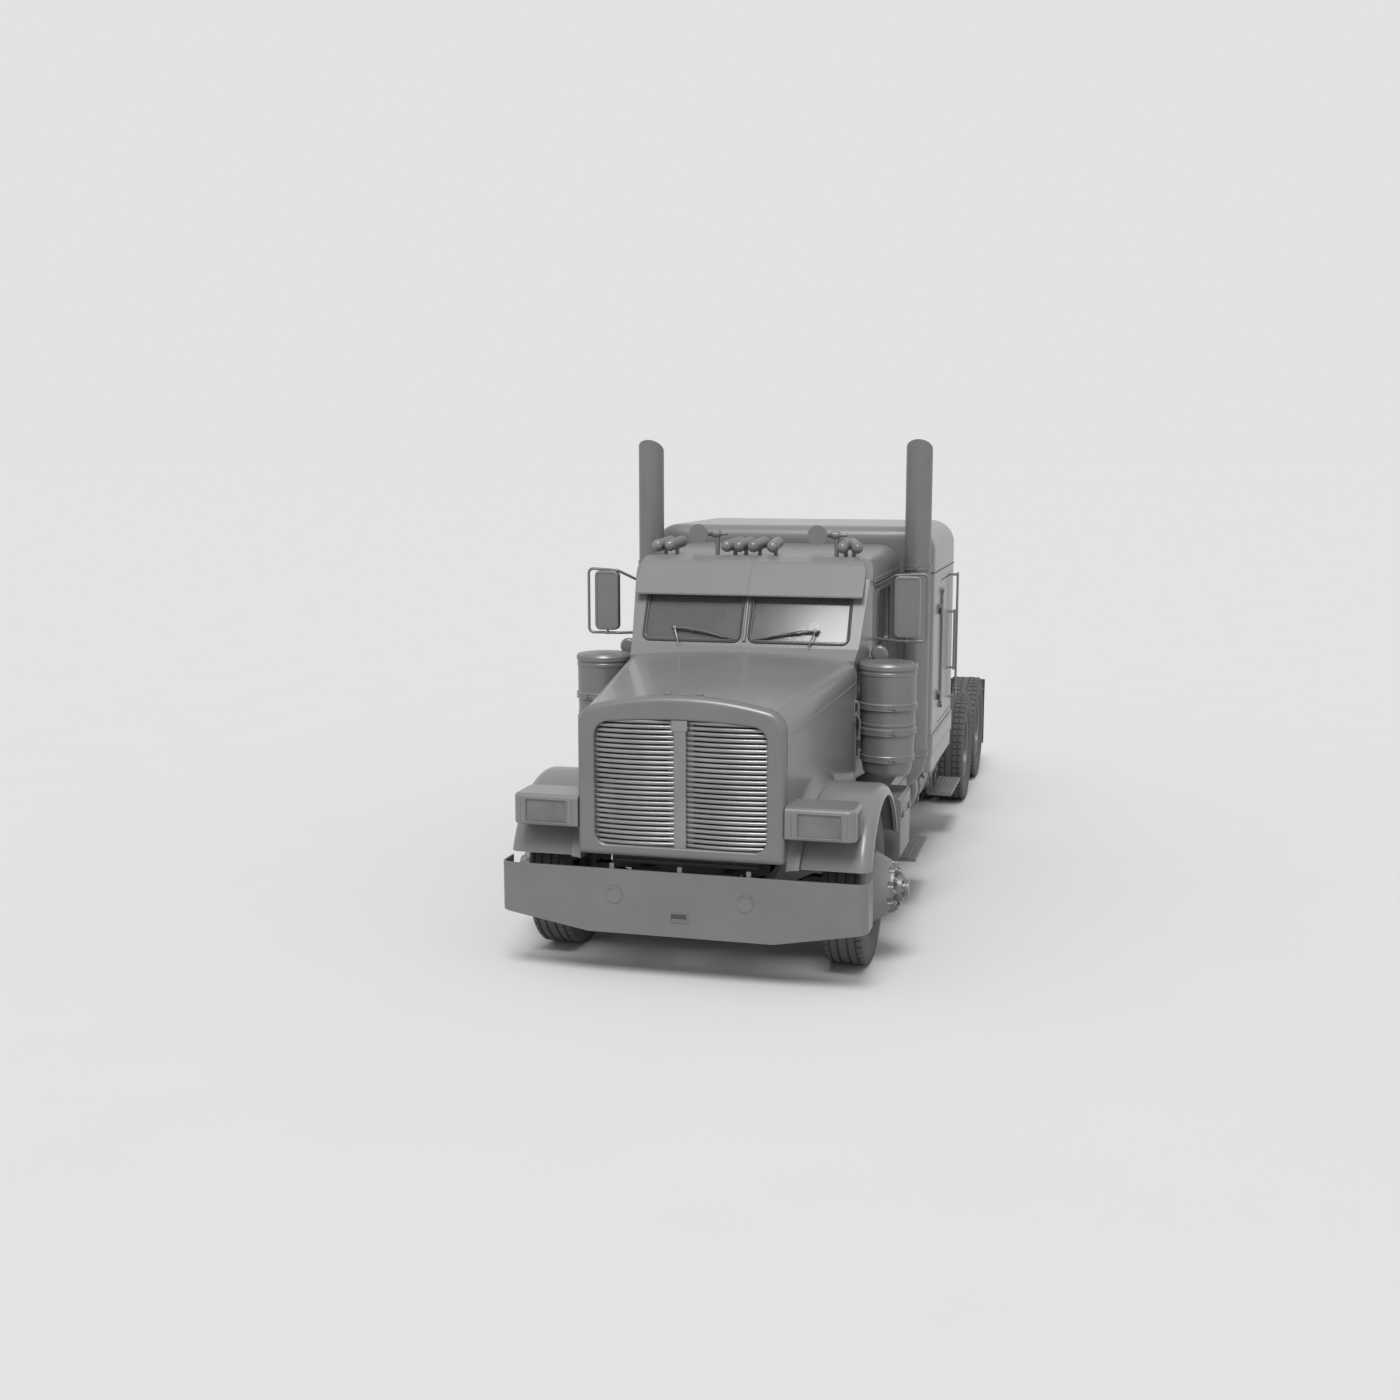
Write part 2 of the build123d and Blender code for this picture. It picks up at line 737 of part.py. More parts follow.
def exhaust_stack():
    bend = stack_elbow_radius
    corner = Vector(stack_x, stack_y, stack_elbow_z)
    path = FilletPolyline((rail_half, stack_y, stack_elbow_z), tuple(corner),
                          (stack_x, stack_y, stack_top + 200), radius=bend)
    mouth = Plane(origin=(rail_half, stack_y, stack_elbow_z), z_dir=(1, 0, 0))
    pipe = sweep(mouth * Circle(stack_radius), path)
    tip = Plane(origin=(stack_x, stack_y, stack_top - sin(radians(tip_slant)) * stack_radius),
                z_dir=(0, sin(radians(tip_slant)), cos(radians(tip_slant))))
    waste = 8 * stack_radius
    pipe = pipe - tip * Box(waste, waste, waste, align=(Align.CENTER, Align.CENTER, Align.MIN))
    bore = rod((stack_x, stack_y, stack_top - stack_bore), (stack_x, stack_y, stack_top + 1),
               stack_radius - stack_wall)
    pieces = [pipe - bore]
    for z in CLAMP_ZS:
        pieces.append(rod((stack_x, stack_y, z - clamp_half), (stack_x, stack_y, z + clamp_half),
                          stack_radius + clamp_proud))
    for z in BRACE_ZS:
        pieces.append(block((stack_x - 25, stack_x + 25), (stack_y + stack_radius - 15, sleeper_front),
                            (z - 30, z + 30)))
    return fuse(pieces)


# outline of a cleaner from its foot to its lid: share of the height, share of the lid's radius
CLEANER_OUTLINE = (
    (0.000, 0.74), (0.030, 0.81), (0.125, 0.88), (0.135, 0.92), (0.180, 0.93), (0.190, 0.90), (0.365, 0.92),
    (0.376, 0.97), (0.424, 0.98), (0.435, 0.93), (0.450, 0.93), (0.455, 0.95), (0.472, 0.95), (0.477, 0.93),
    (0.585, 0.94), (0.597, 1.00), (0.648, 1.00), (0.660, 0.95), (0.890, 0.955), (0.900, 0.975), (0.925, 0.975),
    (0.932, 0.955), (0.943, 0.955), (0.950, 1.00), (0.985, 1.00), (1.000, 0.96),
)


def air_cleaner():
    """Left cleaner: a banded canister that narrows to its foot, with two brackets to the cab."""
    height = cleaner_top - cleaner_bottom
    points = [(share * cleaner_radius, cleaner_bottom + level * height) for level, share in CLEANER_OUTLINE]
    profile = make_face(Polyline((0, cleaner_bottom), *points, (0, cleaner_top), close=True))
    shell = Pos(cleaner_x, cleaner_y, 0) * revolve(Plane.XZ * profile, Axis.Z)
    side = cab_front_half + (cleaner_y - hood_rear - hood_gap) * cab_flare
    for share in (0.25, 0.75):
        z = cleaner_bottom + share * height
        bracket = block((side - 40, cleaner_x), (cleaner_y - 40, cleaner_y + 40), (z - 25, z + 25))
        shell = shell + (bracket - cab_outer())
    return shell


# Cab

cab_front = hood_rear + hood_gap
flare_end = 1330.0
cab_flare = (cab_half - cab_front_half) / (flare_end - cab_front)


def cab_profiles(inset):
    """The cab's side, plan and front outlines, drawn in by the wall's thickness."""
    side_points = [
        (cab_front, cab_floor), (cab_front, cowl_top - 75), (screen_base_y - 15, cowl_top),
        (screen_base_y, cowl_top), (screen_top_y, screen_top_z), (roof_front_y, roof_front_z),
        (cab_rear, roof_rear_z), (cab_rear, cab_floor),
    ]
    plan_points = [
        (-cab_front_half, cab_front), (cab_front_half, cab_front), (cab_half, flare_end), (cab_half, cab_rear),
        (-cab_half, cab_rear), (-cab_half, flare_end),
    ]
    front = Rectangle(2 * cab_half, roof_rear_z - cab_floor, align=(Align.CENTER, Align.MIN))
    front = Pos(0, cab_floor) * front
    front = fillet(front.vertices().sort_by(Axis.Y)[2:], roof_corner)
    outlines = [make_face(Polyline(*points, close=True)) for points in (side_points, plan_points)]
    outlines.append(front)
    if inset:
        outlines = [offset(outline, -inset, kind=Kind.INTERSECTION) for outline in outlines]
    return outlines


def cab_solid(inset):
    side, plan, front = cab_profiles(inset)
    solid = extrude(Plane.YZ.offset(-cab_half - 50) * side, 2 * cab_half + 100)
    solid = solid & extrude(Plane.XY.offset(cab_floor - 50) * plan, roof_rear_z - cab_floor + 100)
    return solid & extrude(Plane.XZ.offset(-cab_rear - 50) * front, cab_rear - cab_front + 100)


_made = {}


def once(name, maker):
    """Keeps a solid that several pieces are cut from, so that it is made only once."""
    if name not in _made:
        _made[name] = maker()
    return _made[name]


def cab_outer():
    return once("cab outer", lambda: cab_solid(0))


def cab_shell():
    return once("cab shell", lambda: cab_outer() - cab_solid(cab_wall))


def screen_plane():
    rise = Vector(0, screen_top_y - screen_base_y, screen_top_z - cowl_top)
    normal = Vector(0, -rise.Z, rise.Y)
    return Plane(origin=(0, screen_base_y, cowl_top), x_dir=(1, 0, 0), z_dir=normal)


def screen_outline(inset):
    """Left pane of the two-piece screen, drawn on the screen's own plane."""
    height = sqrt((screen_top_y - screen_base_y) ** 2 + (screen_top_z - cowl_top) ** 2)
    width = screen_half - screen_post_half
    pane = Rectangle(width - 2 * inset, height - 70 - 2 * inset)
    pane = fillet(pane.vertices(), 55)
    return Pos(screen_post_half + width / 2, height / 2) * pane


def door_outline(inset):
    lean = door_front + (screen_top_y - screen_base_y) * 0.35
    points = [
        (door_front, door_bottom), (door_rear, door_bottom), (door_rear, door_top), (lean, door_top),
        (door_front, window_bottom),
    ]
    face = make_face(Polyline(*points, close=True))
    return offset(face, -inset, kind=Kind.INTERSECTION) if inset else face


def window_outline(inset):
    points = [
        (window_front, window_bottom), (window_rear, window_bottom), (window_rear, window_top),
        (window_front + 60, window_top),
    ]
    face = make_face(Polyline(*points, close=True))
    face = fillet(face.vertices(), window_corner)
    return offset(face, -inset, kind=Kind.INTERSECTION) if inset else face


def through_left_side(outline):
    return extrude(Plane.YZ.offset(cab_half - cab_wall - 30) * outline, cab_wall + 60)


def walk_through():
    """The way from the cab into the sleeper, through both walls and the collar."""
    return block((-pass_half, pass_half), (cab_rear - cab_wall - 5, sleeper_front + sleeper_wall + 5), pass_z)


def cab_body():
    body = cab_shell()
    for side in (1, -1):
        opening = extrude(screen_plane() * screen_outline(0), 120, both=True)
        body = body - (opening if side > 0 else other_side(opening))
        door = through_left_side(door_outline(0))
        body = body - (door if side > 0 else other_side(door))
        for z in HINGE_ZS:
            hinge = jamb_hinge(cab_half, hinge_x, hinge_y, z)
            body = body + (hinge if side > 0 else other_side(hinge))
    return body - walk_through()


def windshield():
    plane = screen_plane().offset(-glass_thickness - 12)
    pane = extrude(plane * screen_outline(fit_gap), glass_thickness)
    return both_sides(pane)


hinge_x = cab_half + 22.0
hinge_y = door_front - 4.0
hinge_radius = 14.0
hinge_pin = 7.0
HINGE_ZS = (1320.0, 1850.0)
hinge_half = 45.0
handle_z = 1820.0


def door_hinge(skin, x, y, z):
    """Left hinge's door half: a bored barrel outside the skin and a leaf back onto the door."""
    span = (z - hinge_half, z + hinge_half / 3)
    barrel = rod((x, y, span[0]), (x, y, span[1]), hinge_radius)
    leaf = block((x - 12, x), (y, y + 94), span)
    foot = block((skin - 2, x), (y + 4 + door_gap + 4, y + 94), span)
    bore = rod((x, y, span[0] - 1), (x, y, span[1] + 1), hinge_pin + running_gap)
    return fuse([barrel, leaf, foot]) - bore


def jamb_hinge(skin, x, y, z):
    """Left hinge's fixed half: a knuckle above the door's barrel, with the pin and a leaf ahead."""
    span = (z + hinge_half / 3 + 1, z + hinge_half)
    knuckle_half = rod((x, y, span[0]), (x, y, span[1]), hinge_radius)
    leaf = block((skin - 2, x), (y - 80, y - hinge_radius - 6), span)
    link = block((x - 12, x), (y - 30, y), span)
    pin = rod((x, y, z - hinge_half), (x, y, span[1]), hinge_pin)
    return fuse([knuckle_half, leaf, link, pin])


def cab_door():
    """Left door: the wall inside its outline, with the window cut, a handle and hinge barrels."""
    panel = cab_shell() & through_left_side(door_outline(door_gap))
    panel = panel - through_left_side(window_outline(0))
    pieces = [panel]
    for z in HINGE_ZS:
        pieces.append(door_hinge(cab_half, hinge_x, hinge_y, z))
    y = door_rear - 130
    grip = block((cab_half + 22, cab_half + 36), (y - 90, y + 90), (handle_z - 14, handle_z + 14))
    posts = [
        block((cab_half - 2, cab_half + 30), (end - 12, end + 12), (handle_z - 12, handle_z + 12))
        for end in (y - 78, y + 78)
    ]
    return fuse([*pieces, grip, *posts])


def door_glass():
    middle = cab_half - cab_wall / 2
    outline = Plane.YZ.offset(middle - glass_thickness / 2) * window_outline(fit_gap)
    return extrude(outline, glass_thickness)


mirror_head_depth = 56.0
mirror_head_z = (2126.0, 2596.0)
mirror_head_corner = 42.0
mirror_bend_x = 1105.0
mirror_tube_bend = 38.0
mirror_border = 20.0
mirror_inset = 5.0
mirror_root_y = (1500.0, 1460.0)     # where the upper and the lower arm leave the door


def mirror_head():
    """A rounded case with a shallow panel let into its front and the glass's seat in its back."""
    width = 2 * mirror_head_half
    height = mirror_head_z[1] - mirror_head_z[0]
    front = mirror_y - mirror_head_depth / 2
    face = RectangleRounded(width, height, mirror_head_corner)
    panel = RectangleRounded(width - 2 * mirror_border, height - 2 * mirror_border,
                             mirror_head_corner - mirror_border)
    place = Pos(mirror_head_x, (mirror_head_z[0] + mirror_head_z[1]) / 2)
    case = extrude(facing(front) * place * face, -mirror_head_depth)
    case = fillet(case.faces().sort_by(Axis.Y)[0].edges(), mirror_border * 0.6)
    case = case - extrude(facing(front - 1) * place * panel, -(mirror_inset + 1))
    return case - extrude(facing(front + mirror_head_depth + 1) * place * panel, mirror_inset + 1)


def door_mirror():
    """Left mirror: a tube loop off the door with a flat head hung inside it."""
    points = [
        (cab_half - 5, mirror_root_y[0], door_top - 40), (mirror_bend_x, mirror_y, mirror_arm_top - 12),
        (mirror_x, mirror_y, mirror_arm_top), (mirror_x, mirror_y, mirror_arm_bottom),
        (mirror_bend_x, mirror_y, mirror_arm_bottom), (cab_half - 5, mirror_root_y[1], mirror_arm_bottom),
    ]
    path = FilletPolyline(*points, radius=mirror_tube_bend)
    loop = sweep(Plane(origin=path @ 0, z_dir=path % 0) * Circle(mirror_tube), path)
    pieces = [loop, mirror_head()]
    for z, arm in ((mirror_head_z[1], mirror_arm_top - 5), (mirror_head_z[0], mirror_arm_bottom)):
        middle = (mirror_head_z[0] + mirror_head_z[1]) / 2
        start = z + (20 if z < middle else -20)
        pieces.append(rod((mirror_head_x, mirror_y, start), (mirror_head_x, mirror_y, arm), mirror_tube * 0.8))
    return fuse(pieces) - cab_outer()


spot_depth = 34.0
spot_stem = 10.0


def spot_mirror():
    """Left round mirror on a stem from the cab's side, below the door mirror's sweep."""
    x, y, z = spot_place
    bowl = rod((x, y, z), (x, y + spot_depth, z), spot_radius)
    bowl = fillet(bowl.edges().filter_by(GeomType.CIRCLE).sort_by(Axis.Y)[0], spot_depth * 0.7)
    stem = rod((x, y + spot_depth / 2, z), (cab_front_half, y + spot_depth / 2, z - spot_radius), spot_stem)
    return bowl + (stem - cab_outer())


visor_lip = (1120.0, 2450.0)
visor_crease = (1277.0, 2636.0)
visor_bend = (1318.0, 2684.0)
visor_rear = (1450.0, 2726.0)
visor_half = 885.0
visor_thickness = 9.0
visor_end = 125.0
visor_roll = 60.0


def visor():
    """A sheet from a lip ahead of the screen, creased and rolled over the header, its upper corners rounded."""
    path = [visor_lip, visor_crease, visor_bend, visor_rear]
    under = [(y, z - visor_thickness * 1.3) for y, z in reversed(path)]
    outline = make_face(Polyline(*path, *under, close=True))
    bends = [
        vertex for vertex in outline.vertices()
        if abs(vertex.X - visor_bend[0]) < 1
    ]
    outline = fillet(bends, visor_roll)
    sheet = extrude(Plane.YZ.offset(-visor_half) * outline, 2 * visor_half)
    front = Rectangle(2 * visor_half, visor_rear[1] - visor_lip[1] + 55, align=(Align.CENTER, Align.MIN))
    front = Pos(0, visor_lip[1] - 50) * front
    front = fillet(front.vertices().sort_by(Axis.Y)[2:], visor_end)
    room = extrude(facing(visor_lip[0] - 50) * front, visor_lip[0] - visor_rear[0] - 100)
    return (sheet & room) - cab_outer()


# groups of lamps: x of the nose, degrees that the lamp is turned from straight ahead, towards the left
LAMP_GROUPS = (
    ((-820.0, 34.0), (-722.0, 30.0)),
    ((-258.0, 42.0), (-160.0, 31.0), (-45.0, 27.0), (109.0, 6.0)),
    ((662.0, 8.0), (775.0, -27.0)),
)
bullet_y = 1530.0
bullet_z = 2792.0
bullet_tilt = 11.0
bullet_tail = 24.0
bullet_foot = 16.0


def bullet_lamp(x, turn):
    """A round-nosed lamp on a short foot, its tail raised a little."""
    body = Cylinder(lamp_bullet_radius, lamp_bullet_length, align=(Align.CENTER, Align.CENTER, Align.MIN))
    body = fillet(body.edges().filter_by(GeomType.CIRCLE).sort_by(Axis.Z)[-1], bullet_tail)
    body = body + Sphere(lamp_bullet_radius)
    rise = radians(bullet_tilt)
    back = Vector(sin(radians(turn)) * cos(rise), cos(radians(turn)) * cos(rise), sin(rise))
    lamp = Plane(origin=(x, bullet_y, bullet_z), z_dir=back) * body
    mid = Vector(x, bullet_y, bullet_z) + back * (lamp_bullet_length * 0.5)
    foot = rod((mid.X, mid.Y, roof_front_z - 160), (mid.X, mid.Y, mid.Z), bullet_foot)
    return lamp + (foot - cab_outer())


def roof_lamps():
    """Each group of lamps as one solid, since its lamps lean on each other."""
    return [fuse([bullet_lamp(x, turn) for x, turn in group]) for group in LAMP_GROUPS]


HORN_XS = (-495.0, 458.0)
horn_throat = 18.0
horn_set_back = 62.0
horn_reach = 112.0
horn_bulb = 31.0
horn_bulb_end = 172.0
horn_tail = 12.0
horn_tail_end = 224.0


def air_horn(x):
    """A flat round bell facing forwards whose throat turns to a chamber on its left, on one foot."""
    bell_points = [
        (0, 0), (0, horn_bell), (horn_bell * 0.28, horn_bell), (horn_bell * 0.45, horn_bell * 0.7),
        (horn_set_back, horn_throat), (horn_set_back, 0),
    ]
    chamber_points = [
        (-horn_throat, 0), (-horn_throat, horn_throat), (horn_reach - horn_bulb, horn_throat),
        (horn_reach, horn_bulb), (horn_bulb_end - horn_bulb / 2, horn_bulb), (horn_bulb_end, horn_tail * 1.6),
        (horn_bulb_end, horn_tail), (horn_tail_end, horn_tail), (horn_tail_end, 0),
    ]
    bell, chamber = [
        revolve(make_face(Polyline(*points, close=True)), Axis.X) for points in (bell_points, chamber_points)
    ]
    y = horn_y + horn_set_back
    foot_x = x + (horn_reach + horn_bulb_end) / 2
    foot = rod((foot_x, y, roof_front_z - 60), (foot_x, y, horn_z), horn_throat)
    placed = [Pos(x, horn_y, horn_z) * Rot(0, 0, 90) * bell, Pos(x, y, horn_z) * chamber, foot - cab_outer()]
    return fuse(placed)


# Cab inside

dash_half = 790.0
dash_y = (cab_front + cab_wall, 1300.0)
dash_z = (1640.0, 1950.0)
wheel_x = 420.0
wheel_centre = (wheel_x, 1500.0, 1900.0)
steering_radius = 225.0
steering_rim = 15.0
seat_x = 430.0
seat_half = 250.0
seat_front = 1690.0
seat_cushion_z = (1480.0, 1620.0)
seat_back_top = 2330.0
seat_length = 520.0
seat_base_half = 150.0
seat_base_y = (120.0, 420.0)     # start and end of the base, back from the cushion's front
back_y = (440.0, 560.0)          # front and back of the seat back's foot, from the same edge
back_rise = 40.0
back_lean = 100.0
seat_edge = 40.0


def dashboard():
    """Dash with the steering column and wheel on the driver's side, which is the left."""
    points = [
        (dash_y[0], dash_z[0]), (dash_y[1] - 60, dash_z[0]), (dash_y[1], dash_z[0] + 130),
        (dash_y[1] - 70, dash_z[1]), (dash_y[0], dash_z[1]),
    ]
    top = side_prism(points, -dash_half, dash_half)
    column = rod((wheel_x, dash_y[1] - 80, dash_z[0] + 90), wheel_centre, 32)
    tilt = Vector(*wheel_centre) - Vector(wheel_x, dash_y[1] - 80, dash_z[0] + 90)
    plane = Plane(origin=wheel_centre, x_dir=(1, 0, 0), z_dir=tilt)
    rim = plane * Torus(steering_radius, steering_rim)
    hub = plane * Cylinder(55, 36)
    spokes = [
        plane * Rot(0, 0, turn) * Pos(steering_radius / 2, 0, 0) * Box(steering_radius, 34, 12)
        for turn in (90, 210, 330)
    ]
    return fuse([top, column, rim, hub, *spokes])


def seat(x):
    floor = cab_floor + cab_wall
    base = block((x - seat_base_half, x + seat_base_half),
                 (seat_front + seat_base_y[0], seat_front + seat_base_y[1]), (floor, seat_cushion_z[0]))
    cushion = block((x - seat_half, x + seat_half), (seat_front, seat_front + seat_length), seat_cushion_z)
    cushion = fillet(cushion.edges(), seat_edge)
    foot = seat_cushion_z[0] + back_rise
    back_points = [
        (seat_front + back_y[0], foot), (seat_front + back_y[1], foot),
        (seat_front + back_y[1] + back_lean, seat_back_top), (seat_front + back_y[0] + back_lean, seat_back_top),
    ]
    back = side_prism(back_points, x - seat_half, x + seat_half)
    back = fillet(back.edges().filter_by(Axis.X), seat_edge)
    return fuse([base, cushion, back])


# Sleeper

pass_half = 450.0
pass_z = (1270.0, 2300.0)
belt_z = (960.0, 1135.0)
belt_proud = 12.0
collar_half = 800.0
collar_z = (1200.0, 2600.0)


def sleeper_block(low, high, inset):
    """The sleeper's plan, with rounded corners, between two heights."""
    width = 2 * (sleeper_half - inset)
    length = sleeper_rear - sleeper_front - 2 * inset
    plan = RectangleRounded(width, length, sleeper_corner - inset)
    middle = (sleeper_front + sleeper_rear) / 2
    return extrude(Plane.XY.offset(low) * Pos(0, middle) * plan, high - low)


def bunk_door_outline(inset):
    points = [
        (bunk_door_front, bunk_door_bottom), (bunk_door_rear, bunk_door_bottom),
        (bunk_door_rear, bunk_door_top - bunk_door_corner), (bunk_door_rear - bunk_door_corner, bunk_door_top),
        (bunk_door_front + bunk_door_corner, bunk_door_top), (bunk_door_front, bunk_door_top - bunk_door_corner),
    ]
    face = make_face(Polyline(*points, close=True))
    return offset(face, -inset, kind=Kind.INTERSECTION) if inset else face


def through_sleeper_side(outline):
    return extrude(Plane.YZ.offset(sleeper_half - sleeper_wall - 30) * outline, sleeper_wall + 60)


def sleeper_shell():
    def make():
        shell = sleeper_block(sleeper_skirt, sleeper_seam, 0)
        room = sleeper_block(sleeper_floor + sleeper_wall, sleeper_seam + 1, sleeper_wall)
        under = block((-sleeper_half + sleeper_wall, sleeper_half - sleeper_wall),
                      (sleeper_front - 1, sleeper_rear + 1), (sleeper_skirt - 1, sleeper_floor))
        return shell - room - under
    return once("sleeper shell", make)


rail_grab_y = sleeper_rear - 130.0
rail_grab_z = (1250.0, 2430.0)
rail_grab_out = 45.0
rail_grab_radius = 11.0


def grab_rail(y, low, high):
    """Left upright grab rail on two stand-off feet."""
    x = sleeper_half + rail_grab_out
    pieces = [rod((x, y, low), (x, y, high), rail_grab_radius)]
    for z in (low + 20, high - 20):
        pieces.append(rod((sleeper_half - 20, y, z), (x, y, z), rail_grab_radius))
    return fuse(pieces)


def sleeper_body():
    body = sleeper_shell()
    belt = sleeper_block(belt_z[0], belt_z[1], -belt_proud) - sleeper_block(belt_z[0] - 1, belt_z[1] + 1, 4)
    cut = block((-sleeper_half + sleeper_wall, sleeper_half - sleeper_wall),
                (sleeper_front - 20, sleeper_rear + 20), (belt_z[0] - 1, sleeper_floor))
    body = body + (belt - cut)
    collar = block((-collar_half, collar_half), (cab_rear, sleeper_front + 5), collar_z)
    collar = collar - block((-collar_half + 60, collar_half - 60), (cab_rear - 1, sleeper_front + 6),
                            (collar_z[0] + 60, collar_z[1] - 60))
    collar = collar & block((-collar_half, collar_half), (cab_rear, sleeper_front + 5), (collar_z[0], sleeper_seam))
    body = body + collar
    for piece in both_sides(through_sleeper_side(bunk_door_outline(0))):
        body = body - piece
    for piece in both_sides(grab_rail(rail_grab_y, *rail_grab_z)):
        body = body + piece
    for z in bunk_hinge_zs:
        for piece in both_sides(jamb_hinge(sleeper_half, bunk_hinge_x, bunk_hinge_y, z)):
            body = body + piece
    return body - walk_through()


def sleeper_cap(low, inset):
    """The cap's outside or, drawn in, its room: a round-topped tunnel with its end edges rolled over."""
    half = sleeper_half - inset
    top = sleeper_top - inset
    ends = (sleeper_front + inset, sleeper_rear - inset)
    outline = make_face(Polyline((-half, low), (half, low), (half, top), (-half, top), close=True))
    outline = fillet(outline.vertices().sort_by(Axis.Y)[2:], cap_side_radius - inset)
    cap = extrude(facing(ends[0]) * outline, ends[0] - ends[1])
    rims = [
        edge for edge in cap.edges()
        if min(abs(edge.center().Y - end) for end in ends) < 1 and edge.center().Z > low + 1
    ]
    return fillet(rims, sleeper_corner - inset)


def sleeper_roof():
    return sleeper_cap(sleeper_seam, 0) - sleeper_cap(sleeper_seam - 1, sleeper_wall)


bunk_hinge_x = sleeper_half + 22.0
bunk_hinge_y = bunk_door_front - 4.0
bunk_hinge_zs = [
    bunk_door_bottom + share * (bunk_door_top - bunk_door_bottom) for share in (0.2, 0.8)
]
bunk_handle_y = bunk_door_rear - 140.0
bunk_handle_z = (1550.0, 2105.0)
bunk_rod_y = bunk_door_front + 150.0
bunk_rod_z = (1320.0, 2335.0)


def bunk_door():
    """Left sleeper door: the wall inside its outline, lock rod, grab handle and hinge barrels."""
    panel = sleeper_shell() & through_sleeper_side(bunk_door_outline(door_gap))
    pieces = [panel, grab_rail(bunk_handle_y, *bunk_handle_z)]
    bar_x = sleeper_half + rail_grab_radius - 3
    pieces.append(rod((bar_x, bunk_rod_y, bunk_rod_z[0]), (bar_x, bunk_rod_y, bunk_rod_z[1]), rail_grab_radius))
    for z in bunk_rod_z:
        pieces.append(rod((sleeper_half - 2, bunk_rod_y, z), (bar_x + 18, bunk_rod_y, z), 2 * rail_grab_radius))
    for z in bunk_hinge_zs:
        pieces.append(door_hinge(sleeper_half, bunk_hinge_x, bunk_hinge_y, z))
    return fuse(pieces)


# Hood, grille, fenders and headlamps


def arch_outline(half, bottom, shoulder, crown, corner):
    """Front view of a hood or grille: upright sides, rounded shoulders and a crowned top."""
    edges = [
        Line((-half, bottom), (half, bottom)),
        Line((half, bottom), (half, shoulder)),
        ThreePointArc((half, shoulder), (0, crown), (-half, shoulder)),
        Line((-half, shoulder), (-half, bottom)),
    ]
    face = make_face(edges)
    tops = face.vertices().sort_by(Axis.Y)[2:]
    return fillet(tops, corner)


def facing(y):
    """The upright plane across the truck at a station."""
    return Plane.XZ.offset(-y)


def hood_solid(inset):
    front = arch_outline(grille_half - inset, hood_side_bottom - inset, grille_shoulder - inset,
                         grille_crown - inset, grille_corner - inset)
    rear = arch_outline(hood_rear_half - inset, hood_side_bottom - inset, hood_rear_shoulder - inset,
                        hood_rear_crown - inset, hood_rear_corner - inset)
    return loft([facing(grille_back) * front, facing(hood_rear) * rear])


def hood_outer():
    return once("hood outer", lambda: hood_solid(0))


def wheel_arch(radius):
    """The room round both front wheels, outside the springs."""
    room = rod((post_x[1] + 60, 0, axle_z), (fender_half + arch_radius, 0, axle_z), radius)
    return once(f"arch {radius}", lambda: both_sides(room))


def hood_panel():
    below = block((-hood_rear_half - 50, hood_rear_half + 50), (grille_back - 50, hood_rear + 50),
                  (hood_side_bottom - 300, hood_side_bottom))
    shell = hood_outer() - hood_solid(hood_wall) - below
    for room in wheel_arch(arch_radius):
        shell = shell - room
    return shell


def grille_opening(inset):
    outline = arch_outline(opening_half, opening_bottom, opening_shoulder, opening_crown, opening_corner)
    outline = fillet(outline.vertices().sort_by(Axis.Y)[:2], opening_corner * 0.8)
    outline = offset(outline, -inset) if inset else outline
    return extrude(facing(grille_front - 10) * outline, -(grille_depth + 20))


surround_rim = 42.0
surround_mouth = 16.0


def grille_surround():
    outline = arch_outline(grille_half, grille_bottom, grille_shoulder, grille_crown, grille_corner)
    outline = fillet(outline.vertices().sort_by(Axis.Y)[:2], 25)
    ring = extrude(facing(grille_front) * outline, -grille_depth)
    rim = ring.faces().sort_by(Axis.Y)[0].edges()
    ring = fillet(rim, surround_rim) - grille_opening(0)
    mouth = ring.faces().sort_by(Axis.Y)[0].inner_wires()[0].edges()
    ring = fillet(mouth, surround_mouth)
    near = post_x[1] + 2
    for side in (1, -1):
        low, high = sorted((side * near, side * (near + ear_width)))
        ear = block((low, high), (grille_back - 5, pivot_y), (pivot_z - 24, pivot_z + 24))
        ear = ear + rod((low, pivot_y, pivot_z), (high, pivot_y, pivot_z), 24)
        ring = ring + (ear - rod((low - 1, pivot_y, pivot_z), (high + 1, pivot_y, pivot_z),
                                 pivot_radius + running_gap))
    return ring


bar_set_back = 47.0
divider_cap = 70.0


def grille_bar(z):
    """The left half's bar at one height, bowed forwards between the divider and the opening's side."""
    y = grille_front + bar_set_back
    near, far = divider_bar_half - 8, opening_half
    path = ThreePointArc((near, y, z), ((near + far) / 2, y - bar_bow, z), (far, y, z))
    return sweep(Plane(origin=path @ 0, z_dir=path % 0) * Circle(bar_radius), path)


def grille_bars():
    """Bowed round bars each side of a flat divider with a capped bar, trimmed to the grille's opening."""
    depth = grille_front + bar_set_back
    pitch = (opening_crown - opening_bottom) / bar_count
    pieces = []
    for row in range(bar_count):
        pieces += both_sides(grille_bar(opening_bottom + (row + 0.5) * pitch))
    span = (opening_bottom, opening_crown)
    divider = block((-divider_half, divider_half), (depth + 2, depth + 22), span)
    spine = block((-divider_bar_half, divider_bar_half), (depth - 34, depth + 12), span)
    spine = fillet(spine.edges().filter_by(Axis.Z).sort_by(Axis.Y)[:2], 8)
    cap = block((-divider_bar_half - 10, divider_bar_half + 10), (depth - 42, depth + 12),
                (opening_crown - divider_cap, opening_crown))
    posts = [
        block((side * opening_half - 14, side * opening_half + 14), (depth + 2, depth + 22), span)
        for side in (1, -1)
    ]
    return fuse([*pieces, divider, spine, cap, *posts]) & grille_opening(fit_gap)


